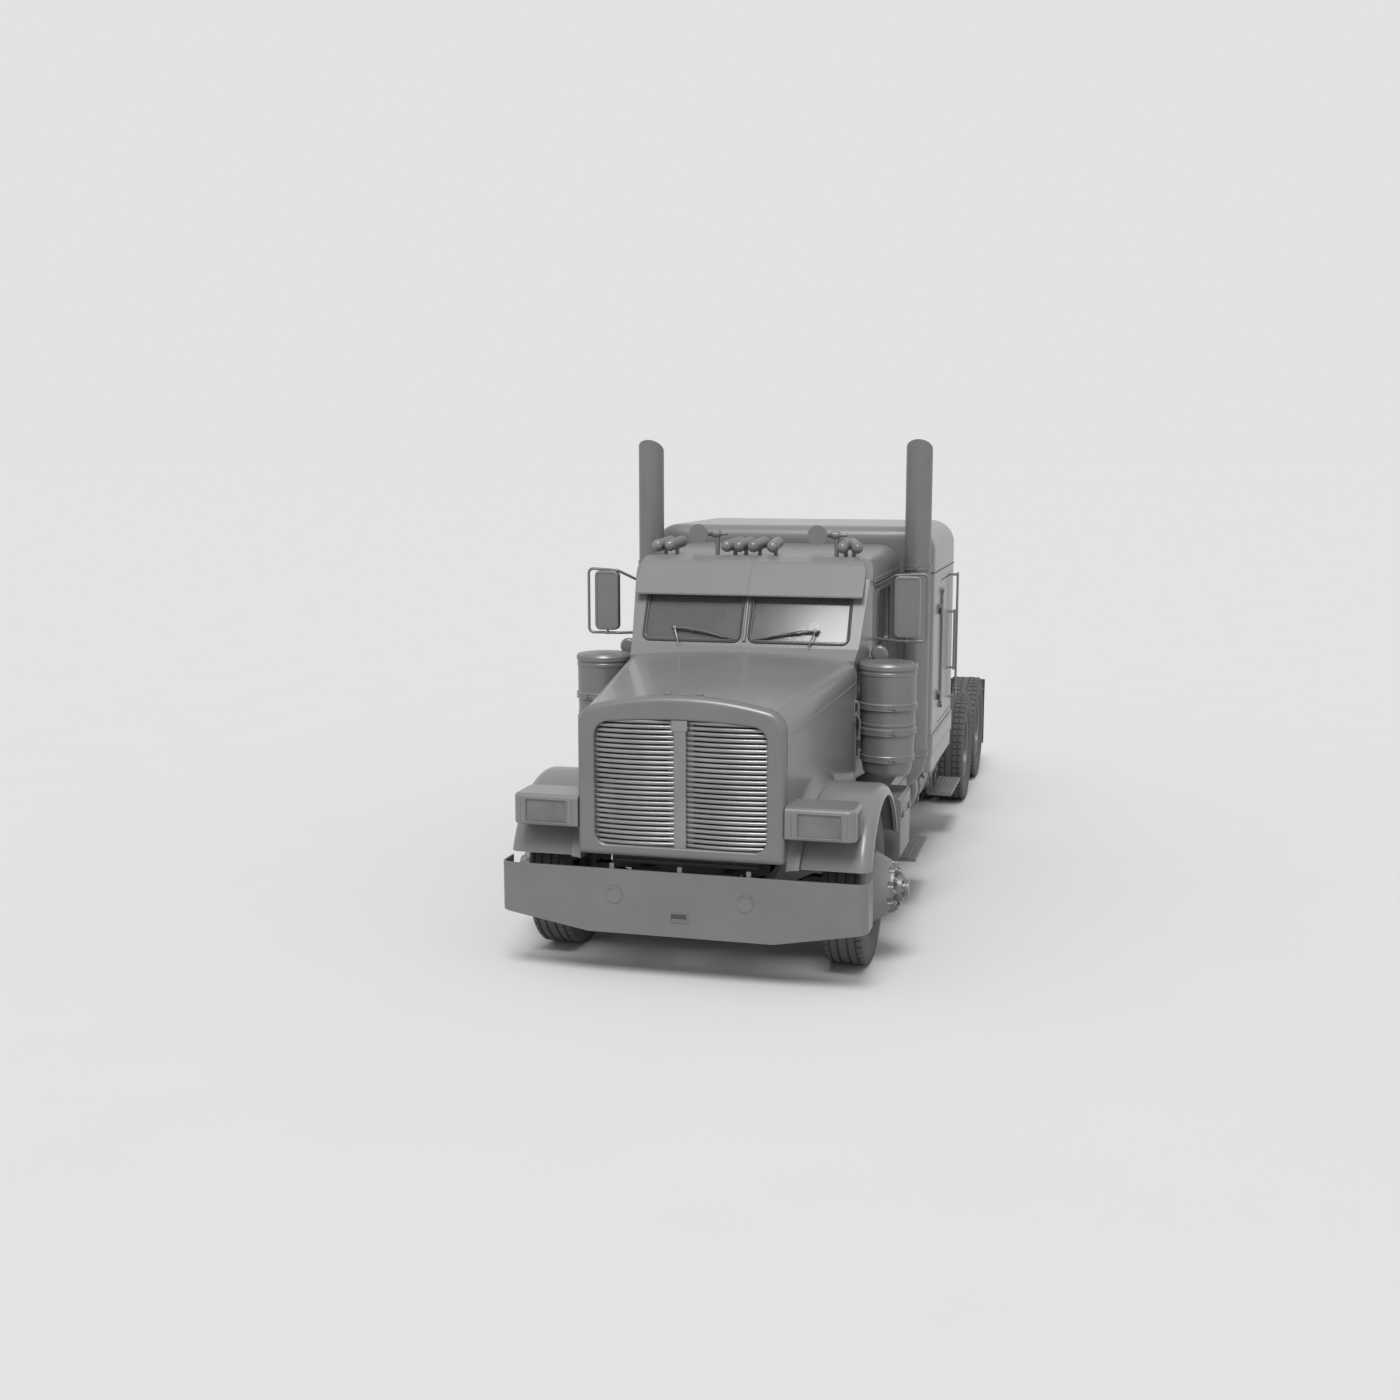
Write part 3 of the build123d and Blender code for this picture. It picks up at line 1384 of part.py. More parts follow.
def fender_band():
    """The left fender's section, turned about the axle: a flat crown, a rolled edge and a lip."""
    crown = fender_half - fender_edge
    roll = fender_radius - fender_edge
    inner_roll = fender_edge - fender_sheet
    lip = roll - fender_lip
    near = grille_half - 60
    half_turn = sqrt(0.5)
    section = make_face([
        Line((near, fender_radius), (crown, fender_radius)),
        ThreePointArc((crown, fender_radius), (crown + fender_edge * half_turn, roll + fender_edge * half_turn),
                      (fender_half, roll)),
        Polyline((fender_half, roll), (fender_half, lip), (fender_half - fender_sheet, lip),
                 (fender_half - fender_sheet, roll)),
        ThreePointArc((fender_half - fender_sheet, roll),
                      (crown + inner_roll * half_turn, roll + inner_roll * half_turn),
                      (crown, fender_radius - fender_sheet)),
        Polyline((crown, fender_radius - fender_sheet), (near, fender_radius - fender_sheet),
                 (near, fender_radius)),
    ])
    return Pos(0, 0, axle_z) * revolve(Plane.XZ * section, Axis.X)


def fender_flare():
    """A hollow-cheeked ring from the left fender's crown up the hood's slanting side."""
    slope = (hood_rear_half - grille_half) / (hood_rear - grille_back)
    origin = Vector(grille_half + slope * (flare_y - grille_back), flare_y, axle_z)
    outwards = Vector(1, -slope, 0)
    base = fender_radius - 3
    top = base + flare_radius
    swing = flare_radius * (1 - sqrt(0.5))
    section = make_face([
        Polyline((flare_radius, base), (flare_radius, base - 10), (-5, base - 10), (-5, top), (0, top)),
        ThreePointArc((0, top), (swing, base + swing), (flare_radius, base)),
    ])
    plane = Plane(origin=origin, x_dir=outwards, z_dir=(-slope, -1, 0))
    ring = revolve(plane * section, Axis(origin, outwards))
    ring = ring & block((0, fender_half), (-2 * fender_radius, flare_end_y), (0, 2 * grille_crown))
    return ring - rod((0, 0, axle_z), (fender_half, 0, axle_z), fender_radius - fender_sheet)


flare_end_y = 560.0


def fender():
    """Left fender: the band over the wheel with its flare, trimmed to the hood and the grille."""
    def make():
        band = fender_band() + fender_flare()
        band = band & block((0, 2 * fender_half), (-2 * fender_radius, 2 * fender_radius),
                            (fender_bottom, 3 * axle_z))
        inside = block((0, grille_half), (-2 * fender_radius, grille_back + 400), (0, hood_side_bottom))
        return band - hood_outer() - inside
    return once("fender", make)


marker_y = (-722.0, -600.0)
marker_recess = 8.0


def headlamp():
    """Left lamp pod on the fender's nose beside the grille, recessed for its lens and side marker."""
    pod = block((grille_half, lamp_outer), (lamp_front, lamp_rear), (lamp_bottom, lamp_top))
    corners = pod.edges().filter_by(Axis.Z).sort_by(Axis.X)[2:]
    pod = fillet(corners, lamp_corner)
    tops = [edge for edge in pod.faces().sort_by(Axis.Z)[-1].edges() if edge.center().X > grille_half + 1]
    pod = fillet(tops, lamp_edge)
    lows = [edge for edge in pod.faces().sort_by(Axis.Z)[0].edges() if edge.center().X > grille_half + 1]
    pod = fillet(lows, lamp_edge / 2)
    recess = block(lens_x, (lamp_front - 1, lamp_front + lens_recess), lens_z)
    marker = block((lamp_outer - marker_recess, lamp_outer + 1), marker_y, lens_z)
    wheel_room = rod((0, 0, axle_z), (fender_half, 0, axle_z), fender_radius - fender_sheet / 2)
    return pod - recess - marker - wheel_room - fender() - hood_outer()


def headlamp_lens():
    face = lamp_front + lens_recess
    lens = block((lens_x[0] + fit_gap, lens_x[1] - fit_gap), (face - lens_thickness, face),
                 (lens_z[0] + fit_gap, lens_z[1] - fit_gap))
    return lens


def build():
    os.makedirs("parts", exist_ok=True)
    export("frame", frame())
    export("mudflaps", *mudflaps())
    export("bumper", bumper())
    export("engine", engine())
    export("radiator", radiator())
    export("front_axle", front_axle())
    export("front_springs", *both_sides(front_spring()))
    export("driveline", driveline())
    export("rear_suspension", *rear_suspension())
    export("fifth_wheel_base", fifth_wheel_base())
    export("fifth_wheel_plate", fifth_wheel_plate())
    export("fuel_tanks", *both_sides(fuel_tank()))
    export("side_boxes", *both_sides(side_box()))
    export("exhaust_stacks", *both_sides(exhaust_stack()))
    export("air_cleaners", *both_sides(air_cleaner()))
    export("cab_body", cab_body())
    export("windshield", *windshield())
    export("visor", visor())
    export("roof_lamps", *roof_lamps())
    export("air_horns", *[air_horn(x) for x in HORN_XS])
    export("spot_mirrors", *both_sides(spot_mirror()))
    export("dashboard", dashboard())
    export("seats", *[seat(side * seat_x) for side in (1, -1)])
    export("sleeper_body", sleeper_body())
    export("sleeper_roof", sleeper_roof())
    export("hood_panel", hood_panel())
    export("grille_surround", grille_surround())
    export("grille_bars", grille_bars())
    export("fenders", *both_sides(fender()))
    export("headlamps", *both_sides(headlamp()))
    export("headlamp_lenses", *both_sides(headlamp_lens()))
    left_pieces = {
        "knuckle": knuckle(), "front_tyre": tyre(front_track_half, 0), "front_wheel": front_wheel(),
        "door": cab_door(), "door_glass": door_glass(), "mirror": door_mirror(), "sleeper_door": bunk_door(),
    }
    for number, y in enumerate(tandem_ys, start=1):
        twin = Compound(children=[tyre(drive_inner_x, y), tyre(drive_outer_x, y)])
        left_pieces[f"drive_tyres_{number}"] = twin
        left_pieces[f"drive_wheels_{number}"] = drive_wheel(y)
    for name, piece in left_pieces.items():
        export(name + "_left", piece)
        export(name + "_right", other_side(piece))


build()
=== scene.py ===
"""Looks of a long-nose semi truck tractor unit in plain grey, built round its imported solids."""

import json
import math

import bmesh
import bpy
from mathutils import Matrix, Vector


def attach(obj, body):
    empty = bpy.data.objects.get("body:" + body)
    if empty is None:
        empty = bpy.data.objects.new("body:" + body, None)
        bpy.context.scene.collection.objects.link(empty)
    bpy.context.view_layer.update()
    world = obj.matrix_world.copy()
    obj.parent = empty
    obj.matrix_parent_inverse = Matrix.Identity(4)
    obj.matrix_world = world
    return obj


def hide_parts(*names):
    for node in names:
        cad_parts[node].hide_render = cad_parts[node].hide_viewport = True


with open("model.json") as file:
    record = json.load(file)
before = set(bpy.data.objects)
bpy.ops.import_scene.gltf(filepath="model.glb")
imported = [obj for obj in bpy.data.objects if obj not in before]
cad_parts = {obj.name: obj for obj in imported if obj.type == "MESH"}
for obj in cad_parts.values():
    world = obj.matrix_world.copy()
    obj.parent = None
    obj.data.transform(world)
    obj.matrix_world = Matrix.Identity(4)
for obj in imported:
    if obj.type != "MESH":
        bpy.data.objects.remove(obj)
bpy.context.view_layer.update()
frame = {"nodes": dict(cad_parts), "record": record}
nodes = frame["nodes"]
MM = 0.001
MIDDLE = 3410.0          # millimetres from the front axle back to the frame's origin

# Camera, found from the photograph's perspective
CAMERA_PLACE = (2.814, -14.306, 3.476)
CAMERA_AZIMUTH = 14.83
CAMERA_DROP = 8.466
CAMERA_LENS = 41.82
CAMERA_SENSOR = 36.0
FLOOR_SIZE = 900          # metres, so that its edge is out of sight

# Studio light: the sky's least and greatest level, and each lamp's way, power and spread in degrees
SKY_LEVELS = (0.26, 0.72)
KEY_WAY = (0.06, -0.52, 0.85)
LAMPS = {
    "key": (KEY_WAY, 2.2, 24.0),
    "glint": ((-0.158, -0.693, 0.703), 0.08, 5.0),
}

# Colours of the finishes, as sRGB hex
PAINT_GREY = "#777779"
PAINT_SHADE = "#717173"
BRIGHT_GREY = "#7e7e80"
POLISHED_GREY = "#a4a4a6"
ALLOY_GREY = "#868688"
FRAME_GREY = "#4c4c4e"
CAST_GREY = "#4a4a4c"
TYRE_GREY = "#484849"
TYRE_DUST = "#5e5d5c"
GRIME_GREY = "#3c3c3e"
RUBBER_GREY = "#3e3e40"
RUBBER_WORN = "#4a4a4b"
GLASS_GREY = "#55575a"
GLASS_DUST = "#626466"
SILVER_DULL = "#b4b6b8"
SILVER_CLEAR = "#c2c4c6"
LENS_GREY = "#8c8c8e"
PLASTIC_GREY = "#4b4b4d"
VINYL_GREY = "#4f4e4d"
FLOOR_PALE = "#d4d4d3"
FLOOR_SHADE = "#d2d2d1"
BACKDROP_PALE = "#e3e3e2"
SKY_WHITE = "#ffffff"


def linear(code, alpha=1.0):
    """An sRGB hex colour as linear red, green, blue and alpha."""
    levels = [int(code[i:i + 2], 16) / 255 for i in (1, 3, 5)]
    levels = [v / 12.92 if v <= 0.04045 else ((v + 0.055) / 1.055) ** 2.4 for v in levels]
    return (*levels, alpha)


def add(tree, kind, links=None, **settings):
    """Adds a node: settings are its properties, links are its input sockets' values or sources."""
    node = tree.nodes.new(kind)
    for key, value in settings.items():
        setattr(node, key, value)
    for socket, value in (links or {}).items():
        if isinstance(value, bpy.types.NodeSocket):
            tree.links.new(value, node.inputs[socket])
        else:
            node.inputs[socket].default_value = value
    return node


def per_metre(size_mm):
    """A texture scale whose features repeat about every so many millimetres."""
    return 1.0 / (size_mm * MM)


def new_material(name):
    """A material with an empty shader, its tree, and the socket that gives places on the piece."""
    material = bpy.data.materials.new(name)
    material.use_nodes = True
    tree = material.node_tree
    tree.nodes.clear()
    output = tree.nodes.new("ShaderNodeOutputMaterial")
    shader = tree.nodes.new("ShaderNodeBsdfPrincipled")
    tree.links.new(shader.outputs["BSDF"], output.inputs["Surface"])
    where = add(tree, "ShaderNodeTexCoord").outputs["Object"]
    return material, tree, shader, where


def body_enamel():
    """Sprayed enamel: an even grey film with a soft gloss and faint orange peel. Real peel is a few
    millimetres wide, too fine to show, so it is drawn over ten times as coarse."""
    material, tree, shader, where = new_material("sprayed_enamel")
    cloud = add(tree, "ShaderNodeTexNoise", {"Vector": where, "Scale": per_metre(420), "Detail": 4.0})
    peel = add(tree, "ShaderNodeTexNoise", {"Vector": where, "Scale": per_metre(60), "Detail": 1.0})
    dust = add(tree, "ShaderNodeTexNoise", {"Vector": where, "Scale": per_metre(300), "Detail": 3.0})
    colour = add(tree, "ShaderNodeMix", {0: cloud.outputs["Fac"], 6: linear(PAINT_SHADE),
                                         7: linear(PAINT_GREY)}, data_type="RGBA")
    tree.links.new(colour.outputs[2], shader.inputs["Base Color"])
    rough = add(tree, "ShaderNodeMapRange", {"Value": dust.outputs["Fac"], "To Min": 0.3, "To Max": 0.4})
    tree.links.new(rough.outputs["Result"], shader.inputs["Roughness"])
    bump = add(tree, "ShaderNodeBump", {"Height": peel.outputs["Fac"], "Strength": 0.05,
                                        "Distance": 1.0 * MM})
    tree.links.new(bump.outputs["Normal"], shader.inputs["Normal"])
    shader.inputs["Coat Weight"].default_value = 0.3
    shader.inputs["Coat Roughness"].default_value = 0.12
    shader.inputs["IOR"].default_value = 1.5
    return material


def satin_metal(name, pale, metallic, rough_low, rough_high, grain_mm, stretch):
    """Drawn or polished metal: a grey sheen with lines along the way it was worked. Real lines are under a
    millimetre apart, too fine to show, so they are drawn as coarse as the grain given."""
    material, tree, shader, where = new_material(name)
    laid = add(tree, "ShaderNodeMapping", {"Vector": where, "Scale": stretch})
    grain = add(tree, "ShaderNodeTexNoise", {"Vector": laid.outputs["Vector"], "Scale": per_metre(grain_mm),
                                             "Detail": 3.0})
    haze = add(tree, "ShaderNodeTexNoise", {"Vector": where, "Scale": per_metre(240), "Detail": 5.0})
    colour = add(tree, "ShaderNodeMix", {0: haze.outputs["Fac"], 6: linear(PAINT_SHADE), 7: linear(pale)},
                 data_type="RGBA")
    tree.links.new(colour.outputs[2], shader.inputs["Base Color"])
    rough = add(tree, "ShaderNodeMapRange", {"Value": grain.outputs["Fac"], "To Min": rough_low,
                                             "To Max": rough_high})
    tree.links.new(rough.outputs["Result"], shader.inputs["Roughness"])
    bump = add(tree, "ShaderNodeBump", {"Height": grain.outputs["Fac"], "Strength": 0.06,
                                        "Distance": 1.0 * MM})
    tree.links.new(bump.outputs["Normal"], shader.inputs["Normal"])
    shader.inputs["Metallic"].default_value = metallic
    return material


def cast_iron(name, tone, pit_mm, depth):
    """Sand-cast or chassis-painted iron: dull, with a pitted skin. Real pits are about a millimetre wide, too
    fine to show, so they are drawn coarser."""
    material, tree, shader, where = new_material(name)
    pits = add(tree, "ShaderNodeTexNoise", {"Vector": where, "Scale": per_metre(pit_mm), "Detail": 5.0})
    grime = add(tree, "ShaderNodeTexNoise", {"Vector": where, "Scale": per_metre(300), "Detail": 6.0})
    colour = add(tree, "ShaderNodeMix", {0: grime.outputs["Fac"], 6: linear(GRIME_GREY), 7: linear(tone)},
                 data_type="RGBA")
    tree.links.new(colour.outputs[2], shader.inputs["Base Color"])
    rough = add(tree, "ShaderNodeMapRange", {"Value": pits.outputs["Fac"], "To Min": 0.5, "To Max": 0.75})
    tree.links.new(rough.outputs["Result"], shader.inputs["Roughness"])
    bump = add(tree, "ShaderNodeBump", {"Height": pits.outputs["Fac"], "Strength": 0.25,
                                        "Distance": depth * MM})
    tree.links.new(bump.outputs["Normal"], shader.inputs["Normal"])
    return material


def tyre_rubber():
    """Vulcanised rubber: dull grey, dusty in patches, with a rough skin. The skin's real grain is well under
    a millimetre, too fine to show, so it is drawn coarser."""
    material, tree, shader, where = new_material("vulcanised_rubber")
    dust = add(tree, "ShaderNodeTexNoise", {"Vector": where, "Scale": per_metre(160), "Detail": 7.0})
    skin = add(tree, "ShaderNodeTexNoise", {"Vector": where, "Scale": per_metre(6), "Detail": 3.0})
    colour = add(tree, "ShaderNodeMix", {0: dust.outputs["Fac"], 6: linear(TYRE_GREY), 7: linear(TYRE_DUST)},
                 data_type="RGBA")
    tree.links.new(colour.outputs[2], shader.inputs["Base Color"])
    rough = add(tree, "ShaderNodeMapRange", {"Value": dust.outputs["Fac"], "To Min": 0.62, "To Max": 0.85})
    tree.links.new(rough.outputs["Result"], shader.inputs["Roughness"])
    bump = add(tree, "ShaderNodeBump", {"Height": skin.outputs["Fac"], "Strength": 0.2, "Distance": 1.0 * MM})
    tree.links.new(bump.outputs["Normal"], shader.inputs["Normal"])
    return material


def soft_rubber(name, tone, grain_mm, rough):
    """Moulded rubber, plastic or vinyl: an even leathery grain, no shine. A real grain is about a millimetre
    wide, too fine to show, so it is drawn coarser."""
    material, tree, shader, where = new_material(name)
    grain = add(tree, "ShaderNodeTexVoronoi", {"Vector": where, "Scale": per_metre(grain_mm)})
    fade = add(tree, "ShaderNodeTexNoise", {"Vector": where, "Scale": per_metre(180), "Detail": 4.0})
    colour = add(tree, "ShaderNodeMix", {0: fade.outputs["Fac"], 6: linear(RUBBER_GREY), 7: linear(tone)},
                 data_type="RGBA")
    tree.links.new(colour.outputs[2], shader.inputs["Base Color"])
    level = add(tree, "ShaderNodeMapRange", {"Value": fade.outputs["Fac"], "To Min": rough - 0.08,
                                             "To Max": rough + 0.08})
    tree.links.new(level.outputs["Result"], shader.inputs["Roughness"])
    bump = add(tree, "ShaderNodeBump", {"Height": grain.outputs["Distance"], "Strength": 0.2,
                                        "Distance": 0.6 * MM})
    tree.links.new(bump.outputs["Normal"], shader.inputs["Normal"])
    return material


def tinted_glass(name, tone, alpha, rough):
    """Toughened glass: clear grey, bright where it mirrors the sky, with a trace of dust."""
    material, tree, shader, where = new_material(name)
    film = add(tree, "ShaderNodeTexNoise", {"Vector": where, "Scale": per_metre(260), "Detail": 5.0})
    colour = add(tree, "ShaderNodeMix", {0: film.outputs["Fac"], 6: linear(GLASS_GREY), 7: linear(tone)},
                 data_type="RGBA")
    tree.links.new(colour.outputs[2], shader.inputs["Base Color"])
    level = add(tree, "ShaderNodeMapRange", {"Value": film.outputs["Fac"], "To Min": rough,
                                             "To Max": rough + 0.08})
    tree.links.new(level.outputs["Result"], shader.inputs["Roughness"])
    shader.inputs["Alpha"].default_value = alpha
    shader.inputs["IOR"].default_value = 1.52
    shader.inputs["Specular IOR Level"].default_value = 0.7
    return material


def silvered_glass():
    """Mirror glass: a silvered back under a clean pane."""
    material, tree, shader, where = new_material("silvered_glass")
    film = add(tree, "ShaderNodeTexNoise", {"Vector": where, "Scale": per_metre(120), "Detail": 4.0})
    colour = add(tree, "ShaderNodeMix", {0: film.outputs["Fac"], 6: linear(SILVER_DULL),
                                         7: linear(SILVER_CLEAR)}, data_type="RGBA")
    tree.links.new(colour.outputs[2], shader.inputs["Base Color"])
    level = add(tree, "ShaderNodeMapRange", {"Value": film.outputs["Fac"], "To Min": 0.03, "To Max": 0.1})
    tree.links.new(level.outputs["Result"], shader.inputs["Roughness"])
    shader.inputs["Metallic"].default_value = 1.0
    return material


ENAMEL = body_enamel()
BRIGHT = satin_metal("drawn_steel", BRIGHT_GREY, metallic=0.35, rough_low=0.30, rough_high=0.40, grain_mm=70,
                     stretch=(1.0, 1.0, 0.06))
POLISHED = satin_metal("polished_stainless", POLISHED_GREY, metallic=0.6, rough_low=0.24, rough_high=0.36,
                       grain_mm=60, stretch=(0.05, 1.0, 1.0))
ALLOY = satin_metal("turned_aluminium", ALLOY_GREY, metallic=0.35, rough_low=0.32, rough_high=0.44,
                    grain_mm=60, stretch=(1.0, 0.08, 1.0))
CHASSIS_PAINT = cast_iron("chassis_enamel", FRAME_GREY, pit_mm=22, depth=0.6)
CAST = cast_iron("sand_cast_iron", CAST_GREY, pit_mm=8, depth=1.2)
TYRE = tyre_rubber()
RUBBER = soft_rubber("moulded_rubber", RUBBER_WORN, grain_mm=5, rough=0.7)
PLASTIC = soft_rubber("grained_abs", PLASTIC_GREY, grain_mm=4, rough=0.6)
VINYL = soft_rubber("embossed_vinyl", VINYL_GREY, grain_mm=6, rough=0.5)
GLASS = tinted_glass("toughened_glass", GLASS_DUST, alpha=0.8, rough=0.05)
LENS = tinted_glass("pressed_lens_glass", LENS_GREY, alpha=0.9, rough=0.12)
SILVERED = silvered_glass()

NODE_FINISHES = {
    "body_paint": ENAMEL, "frame_paint": CHASSIS_PAINT, "bright_metal": BRIGHT, "alloy": ALLOY, "tyre": TYRE,
    "cast": CAST, "rubber": RUBBER, "glass": GLASS, "lens": LENS, "trim": PLASTIC, "seat": VINYL,
}
for subpart in frame["record"]["subparts"]:
    mesh = nodes[subpart["node"]].data
    mesh.materials.clear()
    mesh.materials.append(NODE_FINISHES[subpart["material_slot"]])
nodes["grille_bars"].data.materials[0] = POLISHED


# Places and sizes, in millimetres from the front axle's middle on the ground, as in the part's source. The
# frame's origin lies MIDDLE behind it.
SIDES = {"left": 1, "right": -1}
OUTWARDS = (1, 0, 0)
BACKWARDS = (0, 1, 0)
WELD = 0.02                 # points nearer than this are one
SHARP = 38.0                # degrees between faces past which an edge stays sharp

AXLE_HEIGHT = 545.0         # also the tyres' radius
DRIVE_AXLES = {1: 5725.0, 2: 6995.0}
STEER_TYRE = 1035.0
TWIN_TYRES = (777.0, 1117.0)
TYRE_BEAD = (103.6, 311.3)
TYRE_SHOULDER = (134.4, 511.0)
GROOVE_RADIUS = 531.0
RIM_LIP = (313.0, 8.0)      # radius of the ring and of its bead
LUGS = 52
# Places round the tyre in shares of a lug, and whether the tread is notched there
LUG_STATIONS = ((0.0, True), (0.16, True), (0.22, False), (0.94, False))

HOOD_NOSE = -707.0
HOOD_LENGTH = 1612.0
HOOD_HALF = (707.0, 183.0)  # at the nose, and the gain to the rear edge, as in the next three
HOOD_CROWN = (1937.0, 98.0)
HOOD_SHOULDER = (1835.0, 150.0)
HOOD_CORNER = (150.0, -40.0)
STRIP_PLACES = (-52.0, 52.0)
STRIP_WIDTH = 9.0

SCREEN_FOOT = (1010.0, 2065.0)
SCREEN_RISE = (250.0 / 563.5, 505.0 / 563.5)
SCREEN_FACING = (0, -0.9, 0.44)
# Place across and turn in degrees of each roof lamp
ROOF_LAMPS = ((-820, 34), (-722, 30), (-258, 42), (-160, 31), (-45, 27), (109, 6), (662, 8), (775, -27))
ROOF_LAMP_RISE = 11.0       # degrees
ROOF_LAMP_RADIUS = 45.9

STACK = (1130, 2400)        # place in plan
STACK_CLAMPS = (1060, 2595)
CLEANER = (1104, 1022)      # place in plan
CLEANER_CLAMPS = ((1274.0, 203.0), (1476.0, 214.0), (1662.0, 219.0))     # height and radius of each band
TANK = (850, 680)           # across and up
TANK_START = 2650
TANK_LENGTH = 1800
TANK_CAPS = (2960, 4240)
TANK_STRAPS = (0.12, 0.5, 0.88)          # shares of the tank's length
TREAD_PITCH = 34
BUMPER_MARK = (450, 585)    # across and up
SEATS = (430, -430)
SEAT_CHANNELS = 6
DRAWN_IN = (22.0, 16.0)     # how far a pad's sides pull in, across and along
DIAL_FACING = (0, 0.93, 0.37)


# Small tools for the meshes

def at(x, y, z):
    """A place in the frame, in metres."""
    return Vector((x, y - MIDDLE, z)) * MM


def seat_on(x, y, z, way=(0, 0, 1)):
    """The matrix that sets a mesh down at a place with its own Z along a direction."""
    return Matrix.Translation(at(x, y, z)) @ Vector(way).to_track_quat("Z", "Y").to_matrix().to_4x4()


def mesh_of(points, faces):
    """A mesh from places in metres and faces of their numbers."""
    mesh = bpy.data.meshes.new("shape")
    mesh.from_pydata(points, [], faces)
    return mesh


def opposite(mesh):
    """The same mesh on the truck's other side."""
    copy = mesh.copy()
    copy.transform(Matrix.Scale(-1, 4, (1, 0, 0)))
    copy.flip_normals()
    return copy


def on_side(meshes, sign):
    """Left meshes as they are, or mirrored to the right."""
    return meshes if sign > 0 else [opposite(mesh) for mesh in meshes]


def on_both(meshes):
    """Left meshes with their mirrored copies."""
    return meshes + [opposite(mesh) for mesh in meshes]


def piece(name, body, finish, meshes):
    """Joins meshes into one piece, welded and shaded, that moves with a body."""
    whole = bmesh.new()
    for mesh in meshes:
        whole.from_mesh(mesh)
    bmesh.ops.remove_doubles(whole, verts=whole.verts, dist=WELD * MM)
    bmesh.ops.recalc_face_normals(whole, faces=whole.faces)
    mesh = bpy.data.meshes.new(name)
    whole.to_mesh(mesh)
    whole.free()
    mesh.materials.clear()
    mesh.materials.append(finish)
    mesh.shade_smooth()
    mesh.set_sharp_from_angle(angle=math.radians(SHARP))
    shown = bpy.data.objects.new(name, mesh)
    bpy.context.scene.collection.objects.link(shown)
    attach(shown, body)
    return shown


def arc(start, middle, end, count):
    """Points along the circle through three points of a drawing, without the first."""
    (ax, ay), (bx, by), (cx, cy) = start, middle, end
    twice = 2 * (ax * (by - cy) + bx * (cy - ay) + cx * (ay - by))
    squares = [x * x + y * y for x, y in (start, middle, end)]
    ox = (squares[0] * (by - cy) + squares[1] * (cy - ay) + squares[2] * (ay - by)) / twice
    oy = (squares[0] * (cx - bx) + squares[1] * (ax - cx) + squares[2] * (bx - ax)) / twice
    radius = math.hypot(ax - ox, ay - oy)
    first, last = math.atan2(ay - oy, ax - ox), math.atan2(cy - oy, cx - ox)
    turn = (last - first + math.pi) % (2 * math.pi) - math.pi
    angles = [first + turn * i / count for i in range(1, count + 1)]
    return [(ox + radius * math.cos(a), oy + radius * math.sin(a)) for a in angles]


def lathe(profile, place, steps=48):
    """Turns (along, radius) points, in millimetres, about the local Z axis and sets the result in place.
    A profile that doesn't come back to its start is closed to the axis at both ends."""
    if profile[0] != profile[-1]:
        profile = [(profile[0][0], 0.0), *profile, (profile[-1][0], 0.0)]
    points, faces = [], []
    for i in range(steps):
        turn = 2 * math.pi * i / steps
        for along, radius in profile:
            points.append((radius * MM * math.cos(turn), radius * MM * math.sin(turn), along * MM))
    count = len(profile)
    for i in range(steps):
        for j in range(count - 1):
            a, b = i * count + j, ((i + 1) % steps) * count + j
            faces.append((a, b, b + 1, a + 1))
    mesh = mesh_of(points, faces)
    mesh.transform(place)
    return mesh


def ring_bead(radius, bead, place, steps=48):
    """A round bead bent into a ring about the local Z axis."""
    turns = [math.pi * i / 5 for i in range(10)]
    section = [(bead * math.sin(turn), radius + bead * math.cos(turn)) for turn in turns]
    return lathe([*section, section[0]], place, steps)


def rounded(corners, radius, closed=True, count=5):
    """A path through corners, each turned with an arc of the radius."""
    corners = [Vector(corner) for corner in corners]
    path = []
    for i, corner in enumerate(corners):
        if not closed and i in (0, len(corners) - 1):
            path.append(corner)
            continue
        before = (corners[i - 1] - corner).normalized()
        after = (corners[(i + 1) % len(corners)] - corner).normalized()
        half = before.angle(after) / 2
        reach = radius / math.tan(half)
        hub = corner + (before + after).normalized() * (radius / math.sin(half))
        start, end = corner + before * reach - hub, corner + after * reach - hub
        path += [hub + start.lerp(end, k / count).normalized() * radius for k in range(count + 1)]
    return path


def tube(path, radius, closed=False, sides=2):
    """A round bar along a path of places."""
    curve = bpy.data.curves.new("path", "CURVE")
    curve.dimensions = "3D"
    curve.bevel_depth = radius * MM
    curve.bevel_resolution = sides
    curve.use_fill_caps = True
    spline = curve.splines.new("POLY")
    spline.points.add(len(path) - 1)
    for point, place in zip(spline.points, path):
        point.co = (*at(*place), 1)
    spline.use_cyclic_u = closed
    holder = bpy.data.objects.new("path", curve)
    bpy.context.scene.collection.objects.link(holder)
    bpy.context.view_layer.update()
    mesh = bpy.data.meshes.new_from_object(holder.evaluated_get(bpy.context.evaluated_depsgraph_get()))
    bpy.data.objects.remove(holder)
    return mesh


def finished(form):
    """The mesh of a form that needs no more work."""
    mesh = bpy.data.meshes.new("shape")
    form.to_mesh(mesh)
    form.free()
    return mesh


def brick(low, high, bevel=2.0):
    """A block between two corners with its edges broken."""
    low, high = at(*low), at(*high)
    form = bmesh.new()
    bmesh.ops.create_cube(form, size=1.0, matrix=Matrix.LocRotScale((low + high) / 2, None, high - low))
    if bevel:
        bmesh.ops.bevel(form, geom=form.edges[:], offset=bevel * MM, segments=2, affect="EDGES", profile=0.5)
    return finished(form)


